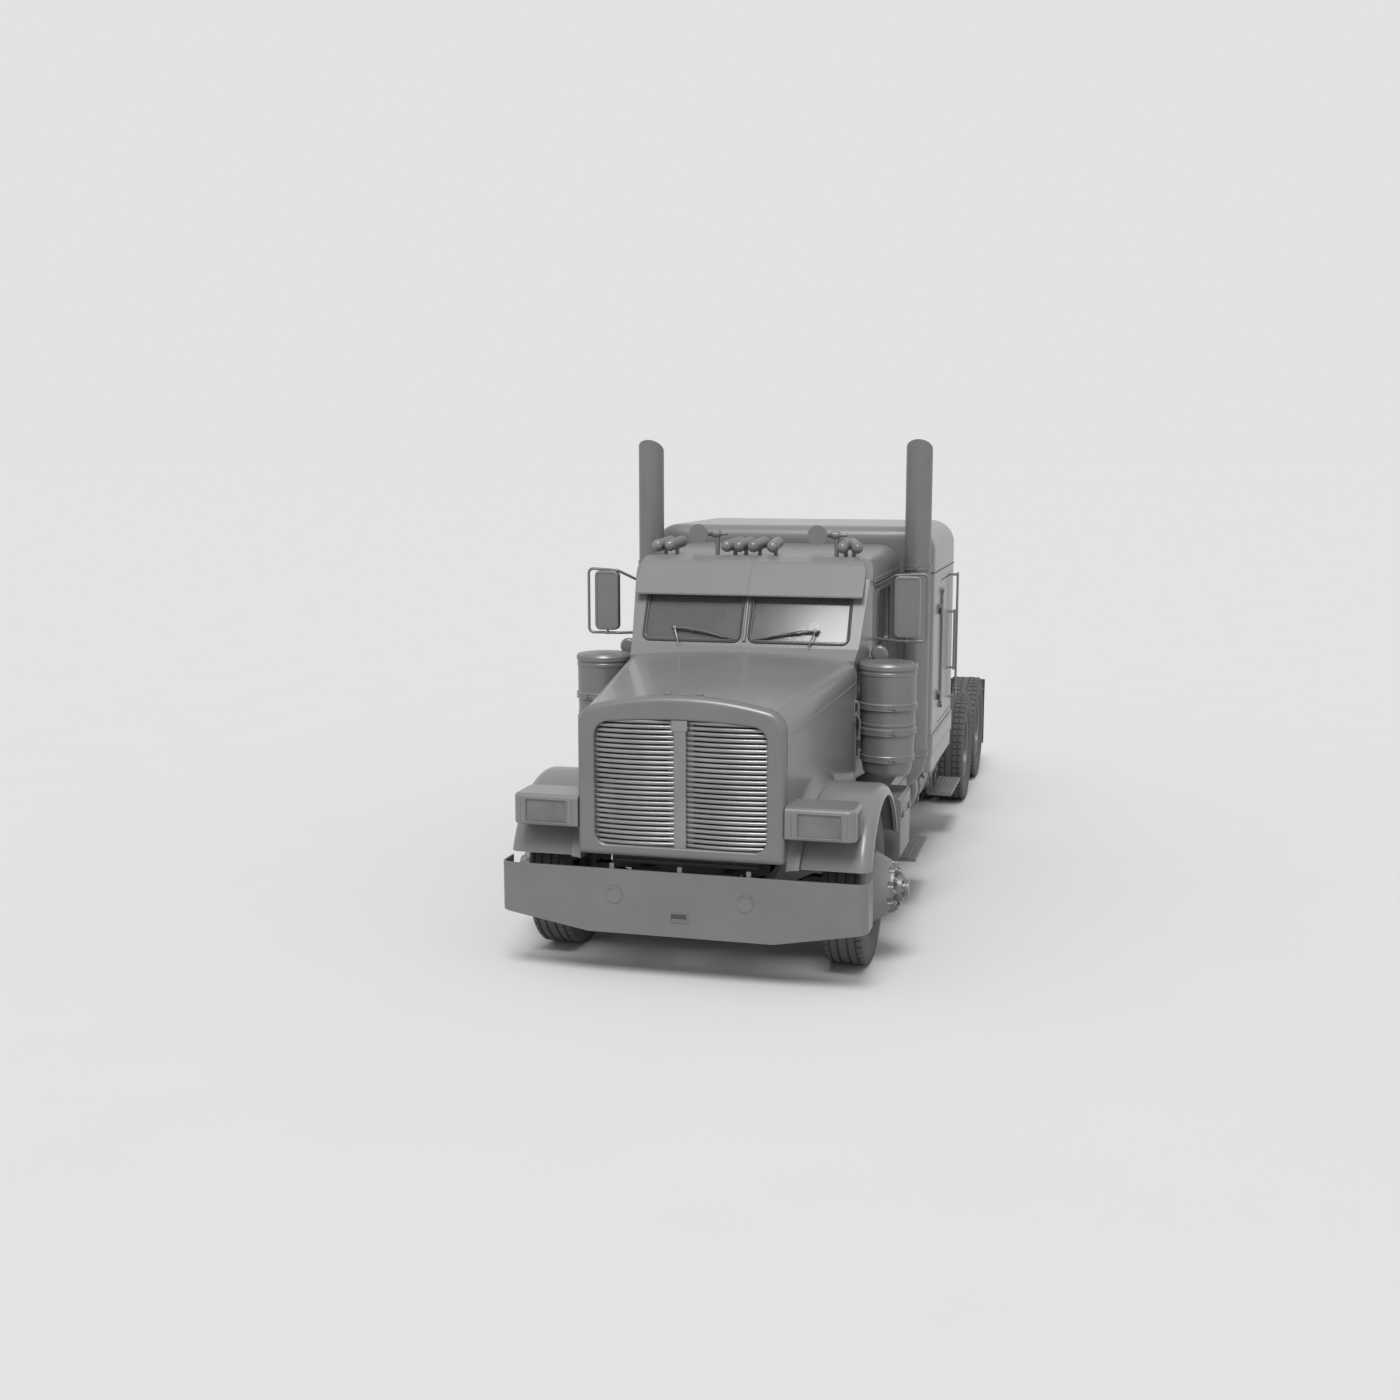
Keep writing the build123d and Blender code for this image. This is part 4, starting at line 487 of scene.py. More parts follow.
def slab(outline, thickness, place, bevel=0.0):
    """A flat outline in local X and Y, given in millimetres, made so thick along local Z."""
    form = bmesh.new()
    face = form.faces.new([form.verts.new((x * MM, y * MM, 0)) for x, y in outline])
    raised = bmesh.ops.extrude_face_region(form, geom=[face])["geom"]
    tops = [item for item in raised if isinstance(item, bmesh.types.BMVert)]
    bmesh.ops.translate(form, verts=tops, vec=(0, 0, thickness * MM))
    if bevel:
        rim = [edge for edge in form.edges if all(vert in tops for vert in edge.verts)]
        bmesh.ops.bevel(form, geom=rim, offset=bevel * MM, segments=2, affect="EDGES", profile=0.5)
    mesh = finished(form)
    mesh.transform(place)
    return mesh


# Geometry trees for what repeats

def new_tree(name, inputs):
    """A geometry tree with named inputs, and the sockets that give them inside it."""
    tree = bpy.data.node_groups.new(name, "GeometryNodeTree")
    for label, kind in inputs.items():
        tree.interface.new_socket(name=label, in_out="INPUT", socket_type="NodeSocket" + kind)
    tree.interface.new_socket(name="Finish", in_out="INPUT", socket_type="NodeSocketMaterial")
    tree.interface.new_socket(name="Geometry", in_out="OUTPUT", socket_type="NodeSocketGeometry")
    return tree, tree.nodes.new("NodeGroupInput").outputs


def end_tree(tree, given, instances):
    """Makes a tree's instances real meshes and sets their finish."""
    real = add(tree, "GeometryNodeRealizeInstances", {"Geometry": instances})
    dressed = add(tree, "GeometryNodeSetMaterial", {"Geometry": real.outputs["Geometry"],
                                                    "Material": given["Finish"]})
    output = tree.nodes.new("NodeGroupOutput")
    tree.links.new(dressed.outputs["Geometry"], output.inputs["Geometry"])
    return tree


def nut_ring_tree():
    """Hexagon nuts on washers and studs round a circle, each turned its own way."""
    tree, given = new_tree("nut_ring", {"Count": "Int", "Radius": "Float", "Across": "Float",
                                        "Height": "Float"})
    circle = add(tree, "GeometryNodeMeshCircle", {"Vertices": given["Count"], "Radius": given["Radius"]})
    whole = add(tree, "GeometryNodeJoinGeometry")
    nut, washer, stud = (6, 0.577, 2.0), (14, 0.68, 0.5), (8, 0.3, 2.9)
    for corners, width, depth in (nut, washer, stud):
        radius = add(tree, "ShaderNodeMath", {0: given["Across"], 1: width}, operation="MULTIPLY")
        height = add(tree, "ShaderNodeMath", {0: given["Height"], 1: depth}, operation="MULTIPLY")
        turning = add(tree, "GeometryNodeMeshCylinder", {
            "Vertices": corners, "Radius": radius.outputs["Value"], "Depth": height.outputs["Value"],
        })
        tree.links.new(turning.outputs["Mesh"], whole.inputs["Geometry"])
    angle = add(tree, "FunctionNodeRandomValue", {"Seed": 5}, data_type="FLOAT")
    turn = add(tree, "ShaderNodeCombineXYZ", {"Z": angle.outputs[1]})
    set_out = add(tree, "GeometryNodeInstanceOnPoints", {
        "Points": circle.outputs["Mesh"], "Instance": whole.outputs["Geometry"],
        "Rotation": turn.outputs["Vector"],
    })
    return end_tree(tree, given, set_out.outputs["Instances"])


def rivet_row_tree():
    """Domed heads, half sunk, evenly spaced on a line."""
    tree, given = new_tree("rivet_row", {"Count": "Int", "Start": "Vector", "End": "Vector",
                                         "Radius": "Float"})
    line = add(tree, "GeometryNodeMeshLine", {"Count": given["Count"], "Start Location": given["Start"],
                                              "Offset": given["End"]}, mode="END_POINTS")
    head = add(tree, "GeometryNodeMeshUVSphere", {"Segments": 8, "Rings": 5, "Radius": given["Radius"]})
    set_out = add(tree, "GeometryNodeInstanceOnPoints", {"Points": line.outputs["Mesh"],
                                                         "Instance": head.outputs["Mesh"]})
    return end_tree(tree, given, set_out.outputs["Instances"])


def bar_stack_tree():
    """Equal bars evenly spaced on a line."""
    tree, given = new_tree("bar_stack", {"Count": "Int", "Start": "Vector", "End": "Vector",
                                         "Size": "Vector"})
    line = add(tree, "GeometryNodeMeshLine", {"Count": given["Count"], "Start Location": given["Start"],
                                              "Offset": given["End"]}, mode="END_POINTS")
    bar = add(tree, "GeometryNodeMeshCube", {"Size": given["Size"]})
    set_out = add(tree, "GeometryNodeInstanceOnPoints", {"Points": line.outputs["Mesh"],
                                                         "Instance": bar.outputs["Mesh"]})
    return end_tree(tree, given, set_out.outputs["Instances"])


def tread_plate_tree():
    """Raised lozenges on a grid, leaning left and right by turns."""
    tree, given = new_tree("tread_plate", {"Width": "Float", "Length": "Float", "Across": "Int",
                                           "Along": "Int", "Bump": "Float"})
    grid = add(tree, "GeometryNodeMeshGrid", {"Size X": given["Width"], "Size Y": given["Length"],
                                              "Vertices X": given["Across"], "Vertices Y": given["Along"]})
    bump = add(tree, "GeometryNodeMeshUVSphere", {"Segments": 8, "Rings": 4, "Radius": given["Bump"]})
    long = add(tree, "GeometryNodeTransform", {"Geometry": bump.outputs["Mesh"], "Scale": (1.0, 0.32, 0.2)})
    index = add(tree, "GeometryNodeInputIndex")
    odd = add(tree, "ShaderNodeMath", {0: index.outputs["Index"], 1: 2.0}, operation="MODULO")
    lean = add(tree, "ShaderNodeMath", {0: odd.outputs["Value"], 1: math.pi / 2, 2: math.pi / 4},
               operation="MULTIPLY_ADD")
    turn = add(tree, "ShaderNodeCombineXYZ", {"Z": lean.outputs["Value"]})
    set_out = add(tree, "GeometryNodeInstanceOnPoints", {
        "Points": grid.outputs["Mesh"], "Instance": long.outputs["Geometry"],
        "Rotation": turn.outputs["Vector"],
    })
    return end_tree(tree, given, set_out.outputs["Instances"])


NUT_RING = nut_ring_tree()
RIVET_ROW = rivet_row_tree()
BAR_STACK = bar_stack_tree()
TREAD_PLATE = tread_plate_tree()


def grow(tree, finish, place, **values):
    """Runs a tree once and gives what it grew as a plain mesh, set in place."""
    holder = bpy.data.objects.new(tree.name, bpy.data.meshes.new(tree.name))
    bpy.context.scene.collection.objects.link(holder)
    modifier = holder.modifiers.new(tree.name, "NODES")
    modifier.node_group = tree
    sockets = {item.name: item.identifier for item in tree.interface.items_tree if item.in_out == "INPUT"}
    for label, value in {"Finish": finish, **values}.items():
        modifier[sockets[label]] = value
    bpy.context.view_layer.update()
    mesh = bpy.data.meshes.new_from_object(holder.evaluated_get(bpy.context.evaluated_depsgraph_get()))
    holder.modifiers.remove(modifier)
    bpy.data.objects.remove(holder)
    mesh.transform(place)
    return mesh


def nuts(count, radius, across, height, place, finish):
    """A ring of nuts about the local Z axis."""
    return grow(NUT_RING, finish, place, Count=count, Radius=radius * MM, Across=across * MM,
                Height=height * MM)


def rivets(start, end, count, radius, finish):
    """A row of rivets from one place to another."""
    return grow(RIVET_ROW, finish, Matrix.Identity(4), Count=count, Start=at(*start), End=at(*end),
                Radius=radius * MM)


def bars(start, end, count, size, finish):
    """A row of bars from one place to another."""
    return grow(BAR_STACK, finish, Matrix.Identity(4), Count=count, Start=at(*start), End=at(*end),
                Size=Vector(size) * MM)


def tread_bumps(low, high, z, pitch, finish):
    """Lozenges over a level plate between two corners in plan."""
    width, length = high[0] - low[0], high[1] - low[1]
    along = int(length / pitch) // 2 * 2 + 1
    middle = seat_on((low[0] + high[0]) / 2, (low[1] + high[1]) / 2, z)
    return grow(TREAD_PLATE, finish, middle, Width=width * MM, Length=length * MM,
                Across=int(width / pitch) + 1, Along=along, Bump=pitch * 0.42 * MM)


# Tyres: the solid tyre's outline with grooves between the ribs and notched shoulders

def tyre_profile(lugged):
    """(across, radius, depth of the notch there) from one bead over the tread to the other. The wall carries
    a low moulded ring."""
    wall = [TYRE_BEAD] + arc(TYRE_BEAD, (140.0, 411.15), TYRE_SHOULDER, 14)
    wall = [(x + (2.0 if 4 <= i <= 5 else 0.0), r) for i, (x, r) in enumerate(wall)]
    shoulder = arc(TYRE_SHOULDER, (132.3, 533.0), (120.4, AXLE_HEIGHT), 5)
    notch = 11.0
    inner_notch = notch if lugged else 3.0
    half = [(x, r, 0.0) for x, r in wall] + [(x, r, notch) for x, r in shoulder]
    half += [(98.0, AXLE_HEIGHT, notch), (95.0, GROOVE_RADIUS, 0.0), (84.0, GROOVE_RADIUS, 0.0)]
    half += [(81.0, AXLE_HEIGHT, inner_notch), (42.0, AXLE_HEIGHT, inner_notch)]
    half += [(39.0, GROOVE_RADIUS, 0.0), (28.0, GROOVE_RADIUS, 0.0), (25.0, AXLE_HEIGHT, 0.0)]
    return half + [(-x, r, depth) for x, r, depth in reversed(half)] + [(*TYRE_BEAD, 0.0)]


def tyre_mesh(x, y, lugged):
    """A tyre on its axle at a place across and along the truck."""
    profile = tyre_profile(lugged)
    points, faces = [], []
    stations = [((lug + share) / LUGS, low) for lug in range(LUGS) for share, low in LUG_STATIONS]
    for share, low in stations:
        turn = 2 * math.pi * share
        for across, radius, depth in profile:
            reach = radius - (depth if low else 0.0)
            points.append(at(x + across, y + reach * math.cos(turn), AXLE_HEIGHT + reach * math.sin(turn)))
    count = len(profile)
    for i in range(len(stations)):
        for j in range(count - 1):
            a, b = i * count + j, ((i + 1) % len(stations)) * count + j
            faces.append((a, b, b + 1, a + 1))
    return mesh_of(points, faces)


def on_axle(x, y):
    """The matrix that sets a mesh down on an axle's line, facing out."""
    return seat_on(x, y, AXLE_HEIGHT, OUTWARDS)


def wheel_dressing(side, sign):
    """Tyres, rim lips, nuts and hub bolts of one side's three wheels."""
    tyres = piece(f"steer_tyre_{side}", f"{side}_front_wheel", TYRE,
                  on_side([tyre_mesh(STEER_TYRE, 0, False)], sign))
    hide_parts(f"front_tyre_{side}")
    valve = tube([(1150, 0, 815), (1176, 0, 808), (1196, 0, 790)], 5)
    rim = [ring_bead(*RIM_LIP, on_axle(x, 0), 96) for x in (1138, 932)]
    rim += [nuts(10, 138, 36, 15, on_axle(1330, 0), BRIGHT), nuts(6, 74, 20, 7, on_axle(1378, 0), BRIGHT),
            ring_bead(52, 5, on_axle(1400, 0)), valve]
    piece(f"steer_wheel_trim_{side}", f"{side}_front_wheel", ALLOY, on_side(rim, sign))
    for number, y in DRIVE_AXLES.items():
        body = f"{side}_drive_wheels_{number}"
        twin = piece(f"twin_tyres_{number}_{side}", body, TYRE,
                     on_side([tyre_mesh(x, y, True) for x in TWIN_TYRES], sign))
        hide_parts(f"drive_tyres_{number}_{side}")
        trim = [ring_bead(*RIM_LIP, on_axle(x, y), 96) for x in (674, 880, 1014, 1220)]
        trim += [nuts(10, 152, 36, 15, on_axle(979, y), BRIGHT),
                 nuts(8, 107, 16, 6, on_axle(1175.6, y), BRIGHT),
                 ring_bead(60, 5, on_axle(1195.6, y))]
        piece(f"twin_wheel_trim_{number}_{side}", body, ALLOY, on_side(trim, sign))


# Hood, headlamps and radiator

def hood_at(y):
    """How far a station lies from the hood's nose to its rear edge."""
    return (y - HOOD_NOSE) / HOOD_LENGTH


def hood_edge(y):
    """Half width and the heights of crown and shoulder of the hood at a station."""
    share = hood_at(y)
    return [nose + gain * share for nose, gain in (HOOD_HALF, HOOD_CROWN, HOOD_SHOULDER)]


def hood_top(x, y):
    """Height of the hood's crowned top."""
    half, crown, shoulder = hood_edge(y)
    drop = crown - shoulder
    radius = (half * half + drop * drop) / (2 * drop)
    return crown - radius + math.sqrt(radius * radius - x * x)


def hood_hoop(y, proud):
    """A path over the hood at a station, from one side's foot to the other's."""
    half, crown, shoulder = hood_edge(y)
    corner = HOOD_CORNER[0] + HOOD_CORNER[1] * hood_at(y)
    turn = half - corner * 0.82
    hub, low, reach = half - corner, shoulder - corner, corner + proud
    left = [(half + proud, y, 1110.0), (half + proud, y, low)]
    left += [(hub + reach * math.cos(a), y, low + reach * math.sin(a))
             for a in [math.radians(14 * k) for k in range(1, 5)]]
    count = 13
    across = [turn * (1 - 2 * k / (count - 1)) for k in range(count)]
    top = [(x, y, hood_top(x, y) + proud) for x in across]
    return left + top + [(-x, y, z) for x, y, z in reversed(left)]


def hood_strip(x):
    """A low moulding along the hood's crown."""
    stations = [-690.0 + 60.0 * k for k in range(27)]
    section = [(-STRIP_WIDTH, -1.0), (-STRIP_WIDTH / 2, 3.5), (STRIP_WIDTH / 2, 3.5), (STRIP_WIDTH, -1.0)]
    count = len(section)
    points, faces = [], []
    for y in stations:
        points += [at(x + offset, y, hood_top(x + offset, y) + proud) for offset, proud in section]
    for i in range(len(stations) - 1):
        for j in range(count):
            a, b = count * i + j, count * i + (j + 1) % count
            faces.append((a, b, b + count, a + count))
    faces += [tuple(range(count)), tuple(range(len(points) - count, len(points)))]
    return mesh_of(points, faces)


def hood_dressing():
    """Mouldings, seams and latches of the hood."""
    strips = [hood_strip(x) for x in STRIP_PLACES]
    edges = [(y, hood_edge(y)) for y in (-600.0, 0.0, 600.0, 880.0)]
    seams = on_both([tube([(edge[0] + 1.0, y, edge[2] - 150.0) for y, edge in edges], 4.5)])
    seams.append(tube(hood_hoop(872.0, 0.5), 4.5))
    bumps = on_both([brick((82, -704, 1928), (132, -664, 1948), 7)])
    piece("hood_strips", "hood", ENAMEL, strips + seams + bumps)
    side = hood_edge(850.0)[0]
    hook = [(side + 18, 843, 1610), (side + 40, 850, 1560), (side + 36, 862, 1450), (side + 12, 868, 1420)]
    lever = [(side + 18, 843, 1612), (side + 34, 838, 1660), (side + 22, 850, 1706)]
    latch = [
        brick((side - 4, 815, 1545), (side + 8, 872, 1725), 3),
        brick((side + 4, 828, 1590), (side + 26, 858, 1622), 4),
        tube(rounded(hook, 14, closed=False), 8),
        tube(rounded(lever, 14, closed=False), 8),
        lathe([(-2, 0), (-2, 15), (8, 15), (11, 12), (11, 0)], seat_on(side + 8, 843, 1700, OUTWARDS), 20),
        rivets((side + 8, 826, 1556), (side + 8, 862, 1556), 2, 6, BRIGHT),
        rivets((side + 8, 826, 1574), (side + 8, 862, 1574), 2, 6, BRIGHT),
    ]
    piece("hood_latches", "hood", BRIGHT, on_both(latch))


def lamp_dressing():
    """Bezels and lens ribs of the headlamps, and their side markers."""
    window = [(789, -798, 1044), (1080, -798, 1044), (1080, -798, 1206), (789, -798, 1206)]
    bezel = [tube(rounded(window, 10), 6, closed=True)]
    seam = [tube([(x, y, 1046), (x, y, 1206)], 2.5) for x, y in ((750, -800.5), (1116, -799.5))]
    piece("lamp_bezels", "hood", BRIGHT, on_both(bezel + seam))
    marker = [brick((1161, -718, 1050), (1170, -604, 1200), 4)]
    marker.append(bars((1170, -712, 1125), (1170, -610, 1125), 15, (2.4, 3.2, 138), LENS))
    ribs = [bars((800, -792.4, 1125), (1069, -792.4, 1125), 30, (3.6, 2.4, 148), LENS)]
    piece("lamp_lens_ribs", "hood", LENS, on_both(marker + ribs))


def radiator_fins():
    """Upright fins and level tubes over the radiator's face."""
    fins = [bars((-480, -631, 1287), (480, -631, 1287), 97, (2.4, 8, 930), CAST),
            bars((0, -634, 830), (0, -634, 1750), 12, (970, 6, 12), CAST)]
    piece("radiator_core", "chassis", CAST, fins)


# Cab front: windshield seals, trim and wipers

def on_screen(x, up, out):
    """A place on the windshield's plane: across, up the slope and out from it."""
    return (x, SCREEN_FOOT[0] + up * SCREEN_RISE[0] - out * SCREEN_RISE[1],
            SCREEN_FOOT[1] + up * SCREEN_RISE[1] + out * SCREEN_RISE[0])


def screen_dressing():
    """Seals, trim and wipers of the windshield."""
    outer = [on_screen(x, up, 1) for x, up in ((32, 35), (800, 35), (800, 528.5), (32, 528.5))]
    seals = [tube(rounded(outer, 55, count=7), 9, closed=True, sides=3)]
    piece("screen_seals", "chassis", RUBBER, on_both(seals))
    post = [tube([on_screen(0, 40, 3), on_screen(0, 520, 3)], 13, sides=3)]
    inner = [on_screen(x, up, 4) for x, up in ((46, 49), (786, 49), (786, 514), (46, 514))]
    trim = on_both([tube(rounded(inner, 44, count=7), 3, closed=True)])
    piece("screen_trim", "chassis", BRIGHT, post + trim)
    swing = [on_screen(505, -6, 18), on_screen(520, 50, 26), on_screen(548, 128, 26)]
    reach = [on_screen(548, 130, 26), on_screen(440, 128, 28), on_screen(300, 104, 24)]
    bow = ((430, 112, 10), (380, 112, 20), (300, 104, 24), (220, 84, 20), (160, 66, 10))
    arm = [
        lathe([(-12, 0), (-12, 24), (6, 24), (12, 17), (12, 9), (24, 9), (24, 0)],
              seat_on(*on_screen(505, -6, 0), SCREEN_FACING), 24),
        tube(rounded(swing, 40, closed=False), 6.5),
        lathe([(-6, 0), (-6, 15), (6, 15), (10, 11), (10, 0)],
              seat_on(*on_screen(548, 130, 26), SCREEN_FACING), 20),
        tube(reach, 5.5),
        tube([on_screen(*place) for place in bow], 4),
    ]
    piece("wiper_arms", "chassis", BRIGHT, on_both(arm))
    edge = ((580, 138, 2), (440, 120, 1), (300, 97, 0), (150, 68, 1), (62, 50, 3))
    blade = [tube([on_screen(*place) for place in edge], 6)]
    piece("wiper_blades", "chassis", RUBBER, on_both(blade))


# Doors and mirrors

def door_dressing(side, sign):
    """Seals, trim, lining and mirror glass of one cab door."""
    body = f"{side}_door"
    window = [(931, 1530, 2010), (931, 2225, 2010), (931, 2225, 2465), (931, 1590, 2465)]
    border = [(934, 1518, 1998), (934, 2237, 1998), (934, 2237, 2477), (934, 1581, 2477)]
    seal = [tube(rounded(window, 60, count=7), 9, closed=True, sides=3),
            tube([(908, 1742, 2010), (908, 1752, 2465)], 8)]
    piece(f"window_seal_{side}", body, RUBBER, on_side(seal, sign))
    trim = [tube(rounded(border, 66, count=7), 3.5, closed=True),
            brick((929, 1384, 1950), (936, 2286, 1972), 3),
            brick((929, 1384, 1250), (936, 2286, 1272), 3),
            lathe([(-2, 0), (-2, 17), (7, 17), (9, 14), (9, 0)], seat_on(930, 2170, 1760, OUTWARDS), 24)]
    piece(f"door_trim_{side}", body, BRIGHT, on_side(trim, sign))
    card = [brick((860, 1420, 1200), (874, 2250, 1960), 6), brick((812, 1620, 1640), (868, 2060, 1700), 18),
            lathe([(0, 0), (0, 26), (8, 24), (8, 0)], seat_on(862, 1560, 1720, (-1, 0, 0)), 24)]
    piece(f"door_card_{side}", body, PLASTIC, on_side(card, sign))
    outline = rounded([(-76, -213, 0), (76, -213, 0), (76, 213, 0), (-76, 213, 0)], 20)
    glass = slab([corner.xy for corner in outline], 3.5, seat_on(1190, 1383, 2361, BACKWARDS), 1)
    piece(f"mirror_glass_{side}", body, SILVERED, on_side([glass], sign))
    feet = ((1500, 2490), (1460, 2103))
    fittings = [brick((926, y - 22, z - 20), (946, y + 22, z + 20), 6) for y, z in feet]
    fittings += [brick((1174, 1344, z - 12), (1206, 1376, z + 12), 5) for z in (2603, 2103)]
    piece(f"mirror_feet_{side}", body, BRIGHT, on_side(fittings, sign))


def spot_glass():
    """Glass of the round mirrors on the cowl."""
    pane = lathe([(0, 0), (3, 20), (3, 58), (0, 60)], seat_on(994, 1290, 2010, BACKWARDS), 40)
    piece("spot_glass", "chassis", SILVERED, on_both([pane]))


# Roof fittings

def roof_dressing():
    """Lenses and rings of the roof lamps, the drip rails and the visor's seam."""
    lenses, rings = [], []
    turns = [math.pi / 2 * k / 8 for k in range(9)]
    dome = [(-ROOF_LAMP_RADIUS * math.cos(a), ROOF_LAMP_RADIUS * math.sin(a)) for a in turns]
    for x, turn in ROOF_LAMPS:
        rise, bend = math.radians(ROOF_LAMP_RISE), math.radians(turn)
        back = (math.sin(bend) * math.cos(rise), math.cos(bend) * math.cos(rise), math.sin(rise))
        place = seat_on(x, 1530, 2792, back)
        lenses.append(lathe(dome, place, 28))
        rings.append(ring_bead(45.5, 3, place, 28))
    piece("roof_lamp_lenses", "chassis", LENS, lenses)
    rail = [(934, 1352, 2548), (934, 1400, 2566), (934, 2690, 2566)]
    rings += on_both([tube(rounded(rail, 30, closed=False), 7)])
    piece("roof_trim", "chassis", BRIGHT, rings)
    seam = [tube([(0, 1119.6, 2450.3), (0, 1276.6, 2636.3), (0, 1299.6, 2663.2)], 2.5)]
    piece("visor_seam", "chassis", ENAMEL, seam)


# Sleeper

def sleeper_dressing():
    """The roof's seam, the ribs on the back and the screws along the belt."""
    plan = [(1223, 2739, 2520), (1223, 4401, 2520), (-1223, 4401, 2520), (-1223, 2739, 2520)]
    seam = [tube(rounded(plan, 110, count=7), 5, closed=True)]
    piece("sleeper_seam", "chassis", RUBBER, seam)
    ribs = [bars((-800, 4402, 1830), (800, 4402, 1830), 7, (46, 14, 1180), ENAMEL)]
    piece("sleeper_back_ribs", "chassis", ENAMEL, ribs)
    screws = [rivets((1234, 2860, z), (1234, 3170, z), 4, 5, BRIGHT) for z in (985, 1110)]
    screws += [rivets((1234, 3250, z), (1234, 4280, z), 10, 5, BRIGHT) for z in (985, 1110)]
    piece("sleeper_belt_screws", "chassis", BRIGHT, on_both(screws))


# Stacks, cleaners, tanks, boxes and steps

def stack_dressing():
    """Soot inside the stacks' tips and the clamps round them."""
    cup = [(-432, 0), (-432, 99.5), (-75, 99.5), (-75, 97.5), (-430, 97.5), (-430, 0)]
    piece("stack_soot", "chassis", CAST, on_both([lathe(cup, seat_on(*STACK, 3545), 40)]))
    clamps = []
    for z in STACK_CLAMPS:
        clamps += [brick((1108, 2276, z + lift - 4), (1152, 2296, z + lift + 4), 2) for lift in (-9, 9)]
        clamps.append(tube([(1112, 2284, z), (1150, 2284, z)], 6))
        clamps += [ring_bead(114, 3, seat_on(*STACK, z + lift), 56) for lift in (-17, 17)]
    piece("stack_clamps", "chassis", BRIGHT, on_both(clamps))


def cleaner_dressing():
    """Clamps round the air cleaners and their domed lids."""
    clamps = []
    for z, radius in CLEANER_CLAMPS:
        front = CLEANER[1] - radius
        clamps += [brick((x - 6, front + 2, z - 16), (x + 6, front + 26, z + 16), 3) for x in (1150, 1182)]
        clamps.append(tube([(1138, front + 9, z), (1198, front + 9, z)], 5))
        clamps += [ring_bead(radius, 2.6, seat_on(*CLEANER, z + lift), 80) for lift in (-19, 19)]
    clamps.append(lathe([(-2, 190), (5, 184), (12, 90), (13, 0)], seat_on(*CLEANER, 1978), 64))
    piece("cleaner_clamps", "chassis", BRIGHT, on_both(clamps))


def tank_place(reach, turn, y):
    """A place round a tank's axis, at a turn up from level."""
    return (TANK[0] + reach * math.cos(turn), y, TANK[1] + reach * math.sin(turn))


def tank_dressing():
    """Filler caps and strap edges of the fuel tanks."""
    angle = math.radians(22)
    out = (math.cos(angle), 0, math.sin(angle))
    cap = [(-8, 0), (-8, 50), (22, 48), (22, 60), (26, 63), (44, 63), (50, 57), (50, 0)]
    around = [math.radians(-150 + 15 * k) for k in range(16)]
    fittings = []
    for y in TANK_CAPS:
        fittings.append(lathe(cap, seat_on(*tank_place(268, angle, y), out), 40))
        fittings.append(nuts(12, 60, 9, 5, seat_on(*tank_place(268 + 36, angle, y), out), BRIGHT))
    for share in TANK_STRAPS:
        y = TANK_START + TANK_LENGTH * share
        fittings += [tube([tank_place(278, turn, y + lift) for turn in around], 3) for lift in (-16, 16)]
        fittings.append(brick((1098, y - 24, 560), (1118, y + 24, 600), 4))
        fittings.append(tube([(1106, y, 540), (1106, y, 620)], 6))
    piece("tank_fittings", "chassis", BRIGHT, on_both(fittings))


def box_dressing():
    """Tread on the steps and box tops, lids and latches of the side boxes, and edges of the steps."""
    plates = [((1112, 3892), (1270, 4618), 430), ((1118, 1342), (1270, 2053), 430),
              ((940, 745), (1225, 1225), 1010)]
    tread = [tread_bumps(low, high, z, TREAD_PITCH, ALLOY) for low, high, z in plates]
    piece("step_tread", "chassis", ALLOY, on_both(tread))
    boxes = [
        brick((1246, 735, 880), (1257, 1236, 1000), 4), brick((1246, 735, 575), (1254, 1236, 862), 4),
        brick((1254, 800, 862), (1272, 850, 905), 6), brick((1254, 1120, 862), (1272, 1170, 905), 6),
        bars((1101, 1722, 560), (1101, 1722, 900), 5, (8, 820, 26), ALLOY),
        brick((1286, 1320, 404), (1296, 2075, 426), 3), brick((1286, 3870, 404), (1296, 4640, 426), 3),
    ]
    piece("box_lids", "chassis", ALLOY, on_both(boxes))


# Frame, rear end, fifth wheel and bumper

def frame_dressing():
    """Bolts along the rails, the rear lamps, and the mudflaps' bars and weights."""
    bolts = [rivets((431, -480, z), (431, 7560, z), 61, 9, CHASSIS_PAINT) for z in (800, 885, 970)]
    piece("rail_bolts", "chassis", CHASSIS_PAINT, on_both(bolts))
    lamps, grommets = [], []
    dome = [(0, 58), (10, 57), (16, 48), (19, 20), (19, 0)]
    for x in (760, 930, 1100):
        lamps.append(lathe(dome, seat_on(x, 7640, 945, BACKWARDS), 36))
        grommets.append(ring_bead(60, 6, seat_on(x, 7641, 945, BACKWARDS), 36))
    piece("rear_lamp_lenses", "chassis", LENS, on_both(lamps))
    piece("rear_lamp_grommets", "chassis", RUBBER, on_both(grommets))
    weights = [
        brick((642, 7604, 262), (1252, 7626, 300), 4),
        rivets((680, 7606, 281), (1214, 7606, 281), 6, 6, BRIGHT),
        brick((642, 7602, 868), (1252, 7607, 898), 1),
        rivets((680, 7602, 883), (1214, 7602, 883), 6, 7, BRIGHT),
    ]
    piece("flap_weights", "chassis", BRIGHT, on_both(weights))


def coupling_dressing():
    """The fifth wheel's release handle, with a ring at its end."""
    bent = [(430, 6050, 1196), (560, 6050, 1196), (600, 6020, 1196), (600, 5960, 1196)]
    handle = [tube(rounded(bent, 18, closed=False), 9),
              ring_bead(16, 5, seat_on(600, 5950, 1196, BACKWARDS), 24)]
    piece("release_handle", "coupling", BRIGHT, handle)


